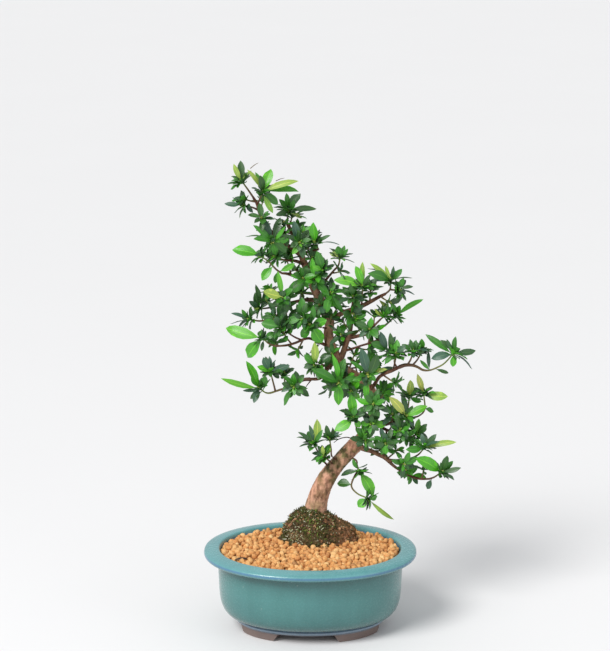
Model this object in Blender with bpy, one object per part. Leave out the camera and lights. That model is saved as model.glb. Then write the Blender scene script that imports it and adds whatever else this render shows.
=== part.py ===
"""A satsuki azalea bonsai: a leaning trunk with leafy sprays, rooted in clay granules in a glazed oval pot.

Sizes below are in millimetres, measured from the middle of the pot's foot, and the finished meshes are in
metres. The last step moves everything so that the middle of the whole tree's box stands on the origin.
"""

import math

import bmesh
import bpy
import numpy as np
from mathutils import Matrix, Vector
from mathutils.bvhtree import BVHTree
from mathutils.geometry import delaunay_2d_cdt

MM = 0.001
GAP = 0.3
MERGE = 0.001
SEED = 29
SMOOTH_ANGLE = 35.0

# The pot: half lengths along x and y, and heights
OVAL_POWER = 2.1
OVAL_SIDES = 32
RIM_HALF = (95.0, 75.0)
POT_HEIGHT = 75.0
BASE_Z = 7.0
FLOOR_Z = 13.0
FOOT_SINK = 1.5
FOOT_REACH = 13.0
FOOT_SECTIONS = (0.0, 0.35, 0.7, 1.0)
FOOT_SET_IN = 1.0
FOOT_SIDE_SLOPE = 0.4
FRONT_FEET_X = (-28.5, 21.0)
FOOT_SLOPE = 7.0
FOOT_OUTER_X = 60.0
DRAIN_X = 36.0
DRAIN_RADIUS = 7.0

# How far the pot's outer face stands inside the rim's widest line, from the base up to the rim's top edge
OUTER_FACE = (
    (29.5, BASE_Z),
    (28.0, 8.6),
    (27.3, 9.2),
    (27.3, 10.8),
    (28.0, 11.6),
    (20.0, 15.5),
    (14.5, 27.0),
    (13.0, 45.0),
    (12.5, 63.0),
    (10.5, 66.6),
    (0.9, 68.4),
    (0.0, 70.5),
    (0.8, 73.1),
    (7.0, 74.7),
    (13.5, POT_HEIGHT),
)
# The same for the inner face, from the rim down to the floor
INNER_FACE = (
    (14.2, 72.5),
    (17.0, 64.0),
    (18.0, 45.0),
    (19.5, 28.0),
    (25.0, 17.0),
    (32.0, FLOOR_Z),
)

# The plastic screens over the drain holes
SCREEN_SIDE = 20.0
SCREEN_THICK = 0.8
SCREEN_CELLS = 3
SCREEN_BAR = 1.5

# The soil and its granules
SOIL_EDGE_Z = 71.6
SOIL_RISE = 3.2
SOIL_TOP_INSET = 14.6
SOIL_RISE_REACH = 0.82
GRAIN_PITCH = 9.8
GRAIN_SHAKE = 0.8
GRAIN_FROM_RIM = 2.5
GRAIN_RELIEF = 1.5
GRAIN_HOLLOW = 0.3

# The root ball: its middle, and rings of half length, half depth, height and sideways shift
BALL_CENTRE = (4.0, 19.0)
BALL_SIDES = 24
BALL_RINGS = (
    (20.0, 14.0, 52.0, 0.0),
    (29.0, 21.0, 60.0, 0.0),
    (31.5, 23.0, 73.0, 0.0),
    (31.0, 22.5, 77.0, 0.5),
    (27.5, 20.5, 84.5, 0.0),
    (22.5, 17.5, 92.0, -1.0),
    (14.8, 13.0, 98.0, -2.2),
    (10.6, 10.4, 101.3, -2.6),
)
BALL_LUMP = 1.5
BALL_LOBE = 6.5
LOBE_TURN = 0.15
LOBE_SPREAD = 0.4
LUMPS_FROM_Z = 80.0
TOP_LUMP_SHARE = 0.3
HOLE_GAP = 0.4
PLUG_GAP = 0.45
HOLE_TOP_Z = 90.0

# Leaves and stems
LEAF_THICK = 0.95
LEAF_ARCH = 0.07
LEAF_STATIONS = ((0.4, 0.95), (0.74, 0.9))
NARROW_STATIONS = ((0.5, 1.0),)
NARROW = 3.2
EDGE_ON_WIDTH = 4.0
DEPTH_SPREAD = 0.34
DEPTH_SHIFTS = (-4.0, 4.0, -8.0, 8.0, -12.0, 12.0, -16.0, 16.0)
LEAF_CLEAR = 0.25
ROOT_SHARE = 0.04
ROOT_REACH = 2.6
ROOTS_TRIED = 10
ROOT_LOOK = 0.25
FOLD_ROOM = 0.6
# Leaves that fill a whorl by rule: how many, their size, how they lean, and the turn from one to the next
EXTRA_LEAVES = 8
BACK_LEAVES = 12
WHORL_WIDTH = 5.2
WHORL_LENGTH = (10.5, 15.5)
WHORL_LEAN = (-0.1, 0.8)
FRONT_SHARE = 0.7
NEXT_LEAF_TURN = 2.4
MOST_TRIES = 60
STEADY_WAY = (0.3, 0.2, 0.9)
STEM_RADIUS = 0.75
STEM_SIDES = 4
RING_START = (0.31, 0.87, 0.38)
CUT_ROOM = 0.4
JOINT_ROOM = 1.6
CARRY_REACH = 1.3
CARRY_ROOM = 2.2
# A whorl of leaves at a stem's end, and a leaf joint along it: rows of way along the stem and radius
WHORL_RINGS = ((-1.3, 0.85), (0.3, 1.3), (1.9, 1.15))
BUD_TIP = 3.3
JOINT_RINGS = ((-0.9, 0.85), (0.9, 0.85))

# The viewpoint that the tree was laid out from. A place (x, z, y) below is a point at depth y that shows at
# x and height z on an upright plane through the trunk.
EYE = Vector((-4.7, -1800.0, 718.5))
LAYOUT_Y = 22.0

# Wood: rows of x, z, depth and radius along each piece of growth
TRUNK = (
    (2.5, 60, 24, 12.6), (3.2, 88, 24, 12.2), (4.6, 100, 24, 10.6), (6.4, 110, 24, 9.4),
    (9.4, 120, 24, 8.7), (13.9, 130, 23.5, 8.1), (20.4, 140, 23, 7.4), (28.5, 150, 22.5, 6.9),
    (36.5, 159, 22, 7.0), (43.2, 166, 22, 7.2),
)  # fmt: skip
LEADER = (
    (40, 162, 22, 5.2), (46, 171, 24, 4.7), (52, 181, 26, 4.5), (56, 193, 27, 4.4),
    (57, 204, 26, 4.4), (54, 212.5, 24, 4.5), (48, 220, 22, 4.5), (40, 226.5, 21, 4.5),
    (31, 232, 20, 4.7), (25, 239, 20, 4.9), (21, 248, 20, 4.7), (17.3, 257, 21, 4.5),
    (16, 266, 22, 4.4), (17, 275, 23, 4.3), (15, 285, 23, 4.1), (10, 294, 22, 3.9),
    (4, 305, 22, 3.6), (-1, 318, 23, 3.3), (-6, 331, 24, 3.0), (-10, 342, 25, 2.6),
    (-15, 354, 26, 2.1), (-20, 364, 26, 1.5),
)  # fmt: skip
SECOND_LEADER = (
    (25, 239, 20, 3.2), (28.7, 247, 18, 2.8), (31.2, 255, 17, 2.5), (34, 263, 17, 2.2),
    (36, 271, 18, 1.5), (37, 277, 18, 1.1),
)  # fmt: skip
BRANCHES = (
    # right of the second leader, and a side branch and a thin twig beside it
    ((33, 261, 17, 1.7), (43, 263.5, 14, 1.5), (52, 266, 12, 1.4), (60, 269.5, 12, 1.2), (66, 273, 13, 1.0)),
    ((48, 265, 13, 1.3), (55, 271.5, 9, 1.1), (60, 276.5, 8, 0.9)),
    ((31, 250, 17, 1.3), (38, 252, 14, 1.0), (45, 254.5, 11, 0.9), (53, 257, 9, 0.9), (60, 260, 8, 0.8)),
    # the strong branch to the upper right
    ((15, 281, 23, 2.8), (22, 281, 19, 2.4), (29, 284.5, 16, 2.2), (37, 287.5, 14, 2.1),
     (45, 290.5, 13, 2.0), (53, 294.5, 12, 1.8), (60, 298.5, 11, 1.5), (66, 301.5, 10, 1.2)),
    # small branches to the right of the top
    ((-8, 337, 25, 1.8), (-1, 339.5, 21, 1.2), (7, 341.3, 18, 0.9)),
    ((4, 305, 22, 1.8), (10, 310, 18, 1.3), (16, 317, 15, 1.1), (21, 323, 13, 0.9)),
    # the long stem to the top left
    ((-8, 336, 24, 2.4), (-17, 343, 20, 1.9), (-27, 350, 17, 1.8), (-35, 358, 15, 1.7),
     (-41, 366, 13, 1.6), (-44.5, 375, 12, 1.5), (-46.5, 382, 11, 1.3), (-50, 388, 10, 1.0)),
    # left of the middle, from the top down
    ((1, 311, 22, 2.2), (-6, 314, 17, 1.8), (-13, 317, 13, 1.5), (-20, 319.5, 10, 1.2), (-25, 320, 8, 0.9)),
    ((-5, 328, 23, 1.9), (-13, 331, 18, 1.4), (-20, 331.5, 14, 1.0)),
    ((8, 296, 22, 2.4), (-4, 296, 27, 1.8), (-15, 294, 30, 1.4), (-25, 292, 31, 1.2), (-34, 289.5, 31, 0.9)),
    ((-13, 294, 29.5, 1.4), (-24, 286, 26, 1.1), (-33, 280, 24, 0.9), (-39, 277.5, 23, 0.8)),
    ((15, 254.5, 21, 1.9), (8, 257.5, 14, 1.3), (0, 261, 8, 1.2), (-6, 260.3, 5, 1.2),
     (-12, 257.5, 4, 1.1), (-20, 255, 3, 1.0), (-30, 254, 3, 0.9)),
    ((24, 241, 20, 2.4), (18, 236.5, 12, 1.8), (13, 230, 8, 1.6), (8, 224.5, 6, 1.5), (0, 223.8, 5, 1.4)),
    # right of the middle
    ((53, 213.5, 24, 2.4), (57, 219, 16, 1.7), (61, 225.5, 11, 1.6), (66, 229, 8, 1.6), (72, 231.5, 6, 1.6),
     (79, 235, 5, 1.5)),
    # the low branch to the right and its fork
    ((42, 162, 22, 3.2), (50, 158.5, 18, 2.3), (55, 157, 16, 2.1), (61, 154, 14, 2.0), (66, 151.5, 13, 1.9),
     (70, 148.7, 12, 1.7), (77, 148.3, 9, 1.3), (84, 149, 7, 1.2), (91, 150.3, 6, 1.0)),
    ((68, 150, 12.5, 1.8), (76, 142.3, 14, 1.3), (84, 137.5, 15, 1.3), (92, 133, 15, 1.2), (99, 131, 14, 1.0),
     (107, 131, 12, 0.9)),
    # inside the lower right foliage
    ((52, 181, 26, 2.6), (62, 181, 24, 1.7), (71, 183, 20, 1.4), (79, 186, 16, 1.1)),
    ((60, 181, 24.5, 1.6), (70, 176, 28, 1.3), (80, 172, 28, 1.1), (87, 170, 26, 0.9)),
)  # fmt: skip

# Leafy sprays. Each is one or more shoots: the first grows out of the wood, and its first share WOOD of the
# way is a bare twig of the wood. A shoot is its route (x, z, depth) to the bud, and its leaves as
# (x, z, seen width) of each tip, or (x, z, seen width, share of the route where the leaf grows).
SPRAYS = (
    ("top_left_tip", 0.0, (
        (((-50, 388, 10), (-54, 394, 9), (-59, 401, 8)),
         ((-60.5, 420, 6.5), (-66.5, 417, 4.5), (-69, 406, 2.4), (-53.5, 410, 3.4), (-53, 391.5, 4, 0.3))),
    )),
    ("top_left_side", 0.35, (
        (((-45, 376, 12), (-50, 378.5, 9), (-57.5, 380.5, 7)),
         ((-75, 382, 5), (-68, 388, 2.6), (-60, 389, 3.4), (-64, 377, 3.4), (-50, 374, 4))),
    )),
    ("top_left_second", 0.3, (
        (((-46.4, 381, 11), (-44, 386, 8), (-41.5, 391.5, 6)),
         ((-54.5, 412, 4.2), (-48, 410, 4), (-34, 412.5, 9), (-43.5, 407, 6), (-10, 393, 6.5),
          (-10.5, 402.5, 6), (-45.5, 386, 5.5), (-28, 381, 7), (-32.5, 373.5, 5))),
    )),
    ("top_middle", 0.0, (
        (((-20, 364, 26), (-20, 369, 25), (-19, 375.5, 24)),
         ((5.5, 377.5, 6), (-8.5, 391, 8), (-21, 391.5, 5), (-7, 369, 3.4), (-27.5, 386, 5),
          (-30, 372, 5), (-14, 386, 5))),
    )),
    ("top_left_middle", 0.3, (
        (((-34, 356.5, 15), (-34, 353, 9), (-33, 349.5, 5)),
         ((-42, 370, 7), (-22, 362, 3.6), (-26, 370, 7), (-50, 363, 5), (-57, 353.5, 2.6),
          (-50, 350.5, 6), (-21, 338, 7), (-30, 336, 6))),
    )),
    ("left_big_leaf", 0.0, (
        (((-25, 320, 8), (-30, 323.5, 5), (-36, 330, 3), (-42, 334.5, 2)),
         ((-68.5, 341, 10.5), (-42.5, 313.5, 7.5, 0.45), (-13.5, 329, 5.5, 0.12), (-31, 311, 5, 0.25))),
    )),
    ("left_upper_inner", 0.0, (
        (((-20, 331.5, 14), (-25, 332.5, 11), (-30, 334.5, 8)),
         ((-20, 344, 6), (-38, 342, 5), (-39, 333, 3), (-27, 347, 6))),
    )),
    ("left_pale", 0.4, (
        (((-22, 292.7, 30.7), (-25, 296, 17), (-24.5, 298, 3)),
         ((-41.5, 304, 9), (-28.5, 322, 5), (-20, 285, 6), (-34, 291, 5))),
    )),
    ("left_curled", 0.0, (
        (((-34, 289.5, 31), (-39, 288.5, 30), (-44.5, 288, 29)),
         ((-48.5, 303, 6), (-54, 295, 5), (-37, 311, 5), (-35, 296, 5), (-48, 310, 5), (-48, 281, 4))),
    )),
    ("left_thin", 0.0, (
        (((-39, 277.5, 23), (-46, 277, 22), (-52.5, 278.5, 21)),
         ((-60.5, 287.5, 3.6), (-70, 284, 3.6), (-71, 274.5, 2.4), (-53, 290, 4))),
    )),
    ("left_dark", 0.35, (
        (((-20, 288.8, 27.5), (-25, 284, 20), (-30, 280, 14)),
         ((-37.5, 295, 5), (-24, 296, 7), (-18, 289, 5), (-30, 270, 6.5))),
    )),
    ("left_two_leaves", 0.0, (
        (((-30, 254, 3), (-36, 256, 3), (-41.5, 260.5, 3)),
         ((-75, 271, 11), (-56, 243, 11), (-43, 249.5, 3.4), (-30.5, 266.5, 6), (-38, 268, 4))),
    )),
    ("left_side_twig", 0.5, (
        (((-8, 259.7, 4.6), (-15, 263, -1), (-25.5, 270.5, -5)),
         ((-20, 278, 6), (-43.5, 275, 9), (-16, 272, 5), (-32, 263, 5), (-31, 281, 6))),
    )),
    ("inner_left", 0.4, (
        (((12, 290, 22.6), (2, 284.5, 12), (-6, 279.5, 4)),
         ((-7, 298.5, 7.5), (-22, 275.5, 7), (-3, 294, 5), (-15.5, 269, 6))),
    )),
    ("inner_big_leaf", 0.3, (
        (((1.5, 310, 22), (2.5, 313, 13), (3, 314.5, 7)),
         ((-21, 301, 10), (17, 299, 6.5), (1.5, 334, 5), (9, 305, 5))),
    )),
    ("inner_bright", 0.35, (
        (((10.5, 293, 22), (14.5, 298, 13), (17, 302, 7)),
         ((22.5, 290, 9), (21, 312, 5), (14, 284, 7), (29, 284, 6))),
    )),
    ("left_of_stem", 0.35, (
        (((16, 270, 22.5), (8, 271.5, 12), (0.5, 273.5, 3)),
         ((10.5, 257, 11), (-8, 262, 8), (14.5, 278, 8), (2.5, 291, 5.5), (-10, 279, 6))),
    )),
    ("left_low", 0.0, (
        (((0, 223.8, 5, 1.4), (-6, 223.3, 5, 1.3), (-11, 220.5, 5, 1.2), (-16, 216, 5, 1.1), (-20, 214.3, 6, 1.1),
          (-25, 214.5, 7, 1.0), (-31, 212.6, 8, 0.9), (-36, 211, 8, 0.9), (-40, 211.5, 8), (-44, 214.5, 8)),
         ((-79.5, 224.6, 5.5), (-60.2, 213.2, 3.4), (-53.4, 205.5, 4.2), (-50.3, 201.7, 5.8),
          (-56.5, 240.5, 8), (-51.6, 228.2, 7), (-39.5, 227, 7), (-33.5, 222.5, 8, 0.55))),
        (((-31, 212.6, 8), (-33, 221, 3), (-35.4, 230.4, 0)),
         ((-41.6, 243.8, 7), (-36.2, 245, 4), (-31, 241.8, 2.8), (-47.2, 235.5, 6), (-27.4, 224.5, 4.5),
          (-18, 236.3, 6))),
        (((-20, 214.3, 6), (-22.5, 220, 3), (-23, 227, 2)),
         ((-28, 230, 3.4), (-19.5, 238, 3.4))),
        (((-11, 220.5, 5), (-13, 219, 0), (-14.2, 217, -4)),
         ((-24.2, 226, 5.5), (-23.6, 199.2, 5.5), (-0.6, 208, 6), (-13, 231.5, 7), (-5.5, 228, 6),
          (-26, 212, 3.4))),
    )),
    ("under_stem", 0.45, (
        (((16, 235, 10.5), (11, 236, 4), (5.5, 236.5, 0)),
         ((-5.5, 246.5, 6), (2, 248.5, 4), (18.5, 246, 6), (3.5, 258, 7), (-6, 234, 5))),
    )),
    ("middle_fan", 0.4, (
        (((29.5, 233.3, 20), (27, 226, 10), (25.5, 221.5, 2)),
         ((25, 199.5, 9.5), (19.5, 247, 5), (31, 243, 7), (43, 225.5, 5.5), (1, 233.5, 9), (9, 222, 5))),
    )),
    ("middle_whorl", 0.4, (
        (((46, 222, 21.5), (48.5, 226, 12), (50.5, 227.5, 4)),
         ((45, 252.5, 8.5), (59, 247.5, 9), (61.5, 238.5, 5), (68.5, 233, 4), (74, 235.5, 5),
          (35, 240.5, 4), (50.5, 201, 5.5))),
    )),
    ("middle_hanging", 0.4, (
        (((41, 226, 21), (38.5, 219, 12), (36.5, 214.5, 6)),
         ((39, 190.5, 8.5), (30.5, 218, 3.4), (44, 204, 5), (44, 217, 6))),
    )),
    ("stump_left", 0.45, (
        (((45, 170, 23.7), (41.5, 178, 11), (39, 187.5, 3)),
         ((21.5, 176, 9.5), (40.5, 198, 5.5), (44, 179, 6), (49, 192, 5))),
    )),
    ("stump_front", 0.45, (
        (((47, 172.5, 24.3), (48, 171, 14), (49, 168, 8)),
         ((40.5, 178.5, 7), (55, 177, 5), (46, 184, 5), (60, 168, 3.4))),
    )),
    ("right_inner", 0.4, (
        (((57, 201, 26.3), (57, 201.5, 12), (56, 201, 0)),
         ((41, 206, 5.5), (61, 210, 6), (47, 194, 6), (72, 193, 5), (67, 204.5, 5), (57, 190, 5))),
    )),
    ("right_under", 0.4, (
        (((55, 188.5, 26.7), (54.5, 186, 16), (54, 183, 8)),
         ((67.5, 181, 7), (62, 192, 7), (44, 183, 5), (57, 173, 5))),
    )),
    ("right_blue", 0.45, (
        (((68, 177, 27.3), (68, 170, 14), (67.5, 165, 4)),
         ((62.5, 179.5, 4.5), (73, 178, 5), (57, 171, 4.5), (75, 160, 4))),
    )),
    ("right_dark", 0.35, (
        (((77, 173.1, 28), (79, 174, 17), (80, 176, 8)),
         ((71, 183, 6), (89, 179, 5), (71.5, 163, 7), (76, 192.5, 5), (87, 168, 5))),
    )),
    ("right_light", 0.0, (
        (((79, 186, 16), (82, 187.5, 14), (84.5, 189, 12)),
         ((70, 207.5, 7.5), (104.5, 199, 8.5), (81, 211, 5.5), (93, 181, 5))),
        (((84.5, 189, 12), (87, 198, 14), (88, 206, 15)),
         ((89, 223, 7.5), (95, 212, 5.5), (79, 216, 3.4), (99, 203, 5))),
    )),
    ("right_far_light", 0.45, (
        (((75, 184.5, 18), (90, 188, 23), (97, 190, 22), (102, 196, 20), (101, 209.5, 17)),
         ((122.5, 208, 8.5), (95, 228.5, 5.5), (115.5, 205, 4.5), (110, 193.5, 5, 0.75), (88, 215, 5))),
    )),
    ("right_lower_inner", 0.0, (
        (((87, 170, 26), (91, 170.5, 24), (94.5, 172.5, 22)),
         ((97, 187.5, 5.5), (104.5, 182.5, 5.5), (86, 187, 4.5), (84, 176, 5), (89, 160, 5))),
    )),
    ("right_whorl", 0.0, (
        (((91, 150.3, 6), (97, 154, 6), (101.5, 159.5, 6)),
         ((131, 165.5, 5.5), (112.5, 173, 6), (99.5, 173.5, 4.5), (85.5, 158.5, 7), (116, 166, 3.4),
          (93, 168, 5))),
    )),
    ("right_low_tip", 0.0, (
        (((107, 131, 12), (112, 133, 11), (117, 137, 9)),
         ((94.5, 150.5, 11.5), (123, 153, 6.5), (135.5, 141.5, 5), (105, 121.5, 6, 0.3), (128, 148, 5))),
    )),
    ("right_far_tip", 0.0, (
        (((79, 235, 5, 1.5), (84, 236.7, 4, 1.4), (90, 236.6, 3, 1.2), (95, 235, 3, 1.1), (100, 232.2, 3, 1.0),
          (106, 232, 3), (113, 234.8, 4), (119, 238.5, 5), (126, 246.5, 6)),
         ((101.5, 265, 6), (115, 260, 5), (120.5, 260.5, 3.6), (128.5, 263, 5), (146.5, 250, 6.5),
          (144, 233, 2.8), (126.5, 235, 6), (107, 242.5, 7.5), (104.5, 249.5, 3.6, 0.53),
          (97, 241.5, 3.4, 0.53), (123, 229.5, 3.6, 0.58))),
        (((90.5, 236.6, 3), (94, 240.5, 4), (96.5, 244.5, 5), (98, 248.5, 6)),
         ((98.5, 261, 5.5), (106, 251, 2.4), (93, 254, 3.4))),
        (((86, 236.8, 3.7), (89, 242, 0), (90.5, 248, -3)),
         ((88, 260.5, 3.6), (80, 248, 2.6), (94.5, 255, 3.4))),
    )),
    ("right_middle_dark", 0.0, (
        (((60, 260, 8), (65, 256.5, 6), (69, 250, 5)),
         ((62, 267.5, 6.5), (70.5, 266.5, 5.5), (75.5, 263, 4.5), (53.5, 257.5, 7.5), (74, 246, 5))),
    )),
    ("right_middle_yellow", 0.35, (
        (((77, 234, 5.3), (74.5, 239.5, 0), (75.5, 246, -3)),
         ((84.5, 254.5, 5.5), (77.5, 254, 3.4), (66, 238, 5))),
    )),
    ("upper_right_tip", 0.0, (
        (((66, 301.5, 10), (70, 305.5, 9), (70.5, 312.5, 8)),
         ((52.5, 329, 4.5), (50, 325, 2.8), (50.5, 320, 8.5), (51, 313, 3.4), (80.5, 324, 5.5),
          (73, 326.5, 3.4), (90, 315.5, 2.8), (66, 327, 3.4))),
        (((70, 305.5, 9), (73, 305, 7), (76.5, 305, 5)),
         ((90.5, 308, 3.6), (92, 300.5, 2.6), (82, 316, 5))),
    )),
    ("upper_right_bright", 0.4, (
        (((45, 290.5, 13), (45.5, 298, 9), (46, 307, 5)),
         ((46, 330.5, 4.8), (39.5, 326.5, 7), (20.5, 314, 9), (53, 319, 4), (28, 303, 6), (56, 306, 5))),
    )),
    ("upper_right_inner", 0.4, (
        (((36, 287.2, 14.2), (37, 293, 8), (37.5, 298.5, 4)),
         ((28, 308, 5), (48, 295, 5), (30, 293, 4.5), (35, 311, 5), (45, 304, 5))),
    )),
    ("second_leader_tip", 0.0, (
        (((37, 277, 18), (38, 278.5, 14), (39, 279.5, 10)),
         ((49.5, 285.5, 6.5), (29.5, 284, 5), (48.5, 270.5, 5.5), (34, 268, 4.5), (50, 277, 5))),
    )),
    ("right_twig_end", 0.0, (
        (((60, 276.5, 8), (62.5, 279, 7.5), (65, 281, 7)),
         ((66.5, 291, 5), (56.5, 288, 3.8), (72, 290, 4.5))),
    )),
    ("right_branch_end", 0.0, (
        (((66, 273, 13), (70, 276.5, 14), (74.5, 281, 15)),
         ((60.5, 296, 4.2), (79, 291, 5), (83, 279, 5), (99.5, 297, 5.5), (72, 293, 5),
          (52, 266.5, 4.5, 0.2))),
    )),
    ("small_top_right", 0.0, (
        (((21, 323, 13), (24.5, 327, 12), (26, 333.5, 11)),
         ((24, 344.5, 6), (30, 345, 3.6), (37.5, 338, 2.8), (39, 329.5, 2.6), (17, 338, 5), (33, 342, 3.4))),
    )),
    ("hooked_leaf", 0.4, (
        (((12, 312.2, 17), (12, 317, 10), (11, 321.5, 6)),
         ((5.5, 340, 7.5), (15, 333, 5), (2, 326, 5))),
    )),
    ("top_inner", 0.35, (
        (((-12, 346.5, 25.3), (-10.5, 347, 17), (-9.5, 347.5, 11)),
         ((-14.5, 367, 7), (-1.5, 359, 6.5), (-20, 354, 5), (-4, 366.5, 2.8), (-16, 337, 5))),
    )),
    ("top_right", 0.0, (
        (((7, 341.3, 18), (6, 343.5, 16), (4.5, 346.5, 14)),
         ((2.5, 365.5, 8), (17.5, 354, 3.4), (26, 346, 2.6), (-8, 347, 6.5), (11, 352.5, 4.5))),
    )),
    ("low_left", 0.45, (
        (((18, 141, 23.2), (11, 149, 14), (7, 156, 12), (3.5, 163.5, 11)),
         ((-12.5, 170, 2.6), (-11, 175, 3.4), (-1, 181.5, 3.8), (6, 187, 7.5), (11, 177, 4.5), (-2, 157, 3.4))),
    )),
    ("low_left_second", 0.45, (
        (((26, 148, 22.6), (19.5, 152, 12), (18.7, 159, 11), (17.5, 167, 11)),
         ((14, 181.5, 5), (20, 179, 4.5), (26, 175, 3.4), (9, 166, 4.5))),
    )),
    ("trunk_whorl", 0.5, (
        (((22, 143, 22.8), (17, 148, 11), (13, 151.5, 6)),
         ((11, 162, 3.6), (6.5, 147, 3.6), (18.5, 160, 3.6))),
    )),
    ("low_right", 0.45, (
        (((33, 153, 22), (41, 148.5, 16), (42, 144, 15), (43.5, 139.5, 14)),
         ((38, 150, 3.6), (48.5, 147, 3.4), (56, 136, 2.8), (27.5, 134, 5), (57, 114.5, 10.5))),
        (((43.5, 139.5, 14), (40, 134, 13), (37, 124.5, 11), (42, 117.5, 9), (51, 113, 7)),
         ((24, 127, 9, 0.4), (43, 104.5, 9), (62, 118, 2.6), (76, 92, 4))),
    )),
    # sprays at the back of the tree
    ("back_right", 0.5, (
        (((57, 203, 26), (61, 203, 44), (63, 206, 60), (65, 210, 68)), ()),
        (((63, 206, 60), (57, 211, 62), (51, 215, 62)), ()),
    )),
    ("back_middle", 0.5, (
        (((16.5, 277, 23), (12, 281, 40), (7, 285, 56), (4, 289, 66)), ()),
        (((7, 285, 56), (13, 291, 57), (19, 296, 56)), ()),
    )),
    ("back_lower", 0.5, (
        (((30, 232.7, 20), (38, 234, 38), (46, 236, 54), (51, 239, 62)), ()),
        (((46, 236, 54), (44, 229, 57), (40, 223, 58)), ()),
    )),
)  # fmt: skip


def place(x, z, y):
    """The point at depth y that shows at (x, z) on the upright layout plane, seen from EYE."""
    share = (y - EYE.y) / (LAYOUT_Y - EYE.y)
    return EYE + (Vector((x, LAYOUT_Y, z)) - EYE) * share


def clear_scene():
    """Takes every object out of the scene that the script starts with."""
    for item in list(bpy.data.objects):
        bpy.data.objects.remove(item, do_unlink=True)


def finish_material(name, colour, roughness, metallic=0.0):
    material = bpy.data.materials.new(name)
    material.use_nodes = True
    shader = material.node_tree.nodes["Principled BSDF"]
    shader.inputs["Base Color"].default_value = (*colour, 1.0)
    shader.inputs["Roughness"].default_value = roughness
    shader.inputs["Metallic"].default_value = metallic
    return material


def mesh_object(name, points, faces):
    """An object in millimetres from points and faces, with its faces turned outward."""
    mesh = bpy.data.meshes.new(name)
    mesh.from_pydata([tuple(map(float, point)) for point in points], [], [tuple(face) for face in faces])
    edit = bmesh.new()
    edit.from_mesh(mesh)
    bmesh.ops.recalc_face_normals(edit, faces=edit.faces)
    edit.to_mesh(mesh)
    edit.free()
    item = bpy.data.objects.new(name, mesh)
    bpy.context.scene.collection.objects.link(item)
    return item


def apply_boolean(target, others, operation, solver="EXACT"):
    """Joins or cuts target with the other objects, applies the result and removes them."""
    group = bpy.data.collections.new("operands")
    for other in others:
        group.objects.link(other)
    modifier = target.modifiers.new(operation.lower(), "BOOLEAN")
    modifier.operation = operation
    modifier.operand_type = "COLLECTION"
    modifier.collection = group
    modifier.solver = solver
    bpy.context.view_layer.update()
    graph = bpy.context.evaluated_depsgraph_get()
    result = bpy.data.meshes.new_from_object(target.evaluated_get(graph))
    target.modifiers.clear()
    target.data = result
    for other in others:
        bpy.data.objects.remove(other, do_unlink=True)
    bpy.data.collections.remove(group)


def islands(edit):
    """The groups of faces that hang together."""
    left = set(edit.faces)
    groups = []
    while left:
        queue = [left.pop()]
        group = set(queue)
        while queue:
            face = queue.pop()
            for edge in face.edges:
                for near in edge.link_faces:
                    if near in left:
                        left.remove(near)
                        group.add(near)
                        queue.append(near)
        groups.append(group)
    return groups


def keep_largest_body(item):
    """Merges doubled points, drops loose scraps and inner hollows, and leaves triangles."""
    edit = bmesh.new()
    edit.from_mesh(item.data)
    bmesh.ops.remove_doubles(edit, verts=edit.verts, dist=0.002)
    bmesh.ops.dissolve_degenerate(edit, edges=edit.edges, dist=0.002)
    groups = sorted(islands(edit), key=lambda group: sum(face.calc_area() for face in group))
    scraps = [face for group in groups[:-1] for face in group]
    bmesh.ops.delete(edit, geom=scraps, context="FACES")
    loose = [vert for vert in edit.verts if not vert.link_faces]
    bmesh.ops.delete(edit, geom=loose, context="VERTS")
    bmesh.ops.triangulate(edit, faces=edit.faces)
    edit.to_mesh(item.data)
    edit.free()


def fuse(items, solver="EXACT"):
    """Joins the items into the first one as a single body."""
    if len(items) > 1:
        apply_boolean(items[0], items[1:], "UNION", solver)
    keep_largest_body(items[0])
    return items[0]


def oval(half_x, half_y, z, sides=OVAL_SIDES, power=OVAL_POWER):
    """A ring of points round a superellipse, starting at +x."""
    turn = np.arange(sides) * 2 * math.pi / sides
    cos = np.cos(turn)
    sin = np.sin(turn)
    x = half_x * np.sign(cos) * np.abs(cos) ** (2 / power)
    y = half_y * np.sign(sin) * np.abs(sin) ** (2 / power)
    return np.column_stack([x, y, np.full(sides, z)])


def loft_shape(rings):
    """Points and outward triangles of a closed body through rings of equal length, with a fan over each end."""
    sides = len(rings[0])
    points = np.vstack([*rings, rings[0].mean(axis=0), rings[-1].mean(axis=0)])
    low = len(points) - 2
    high = len(points) - 1
    faces = []
    for row in range(len(rings) - 1):
        for side in range(sides):
            after = (side + 1) % sides
            here = row * sides
            there = here + sides
            faces.append((here + side, here + after, there + after))
            faces.append((here + side, there + after, there + side))
    last = (len(rings) - 1) * sides
    for side in range(sides):
        after = (side + 1) % sides
        faces.append((after, side, low))
        faces.append((last + side, last + after, high))
    return points, faces


def loft(name, rings):
    """An object whose closed body runs through the rings."""
    return mesh_object(name, *loft_shape(rings))


def cylinder(radius, low, high, centre, sides=16):
    """An upright round body, used as a cutter."""
    turn = np.arange(sides) * 2 * math.pi / sides
    x = centre[0] + radius * np.cos(turn)
    y = centre[1] + radius * np.sin(turn)
    rings = [np.column_stack([x, y, np.full(sides, z)]) for z in (low, high)]
    return loft("cutter", rings)


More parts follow.
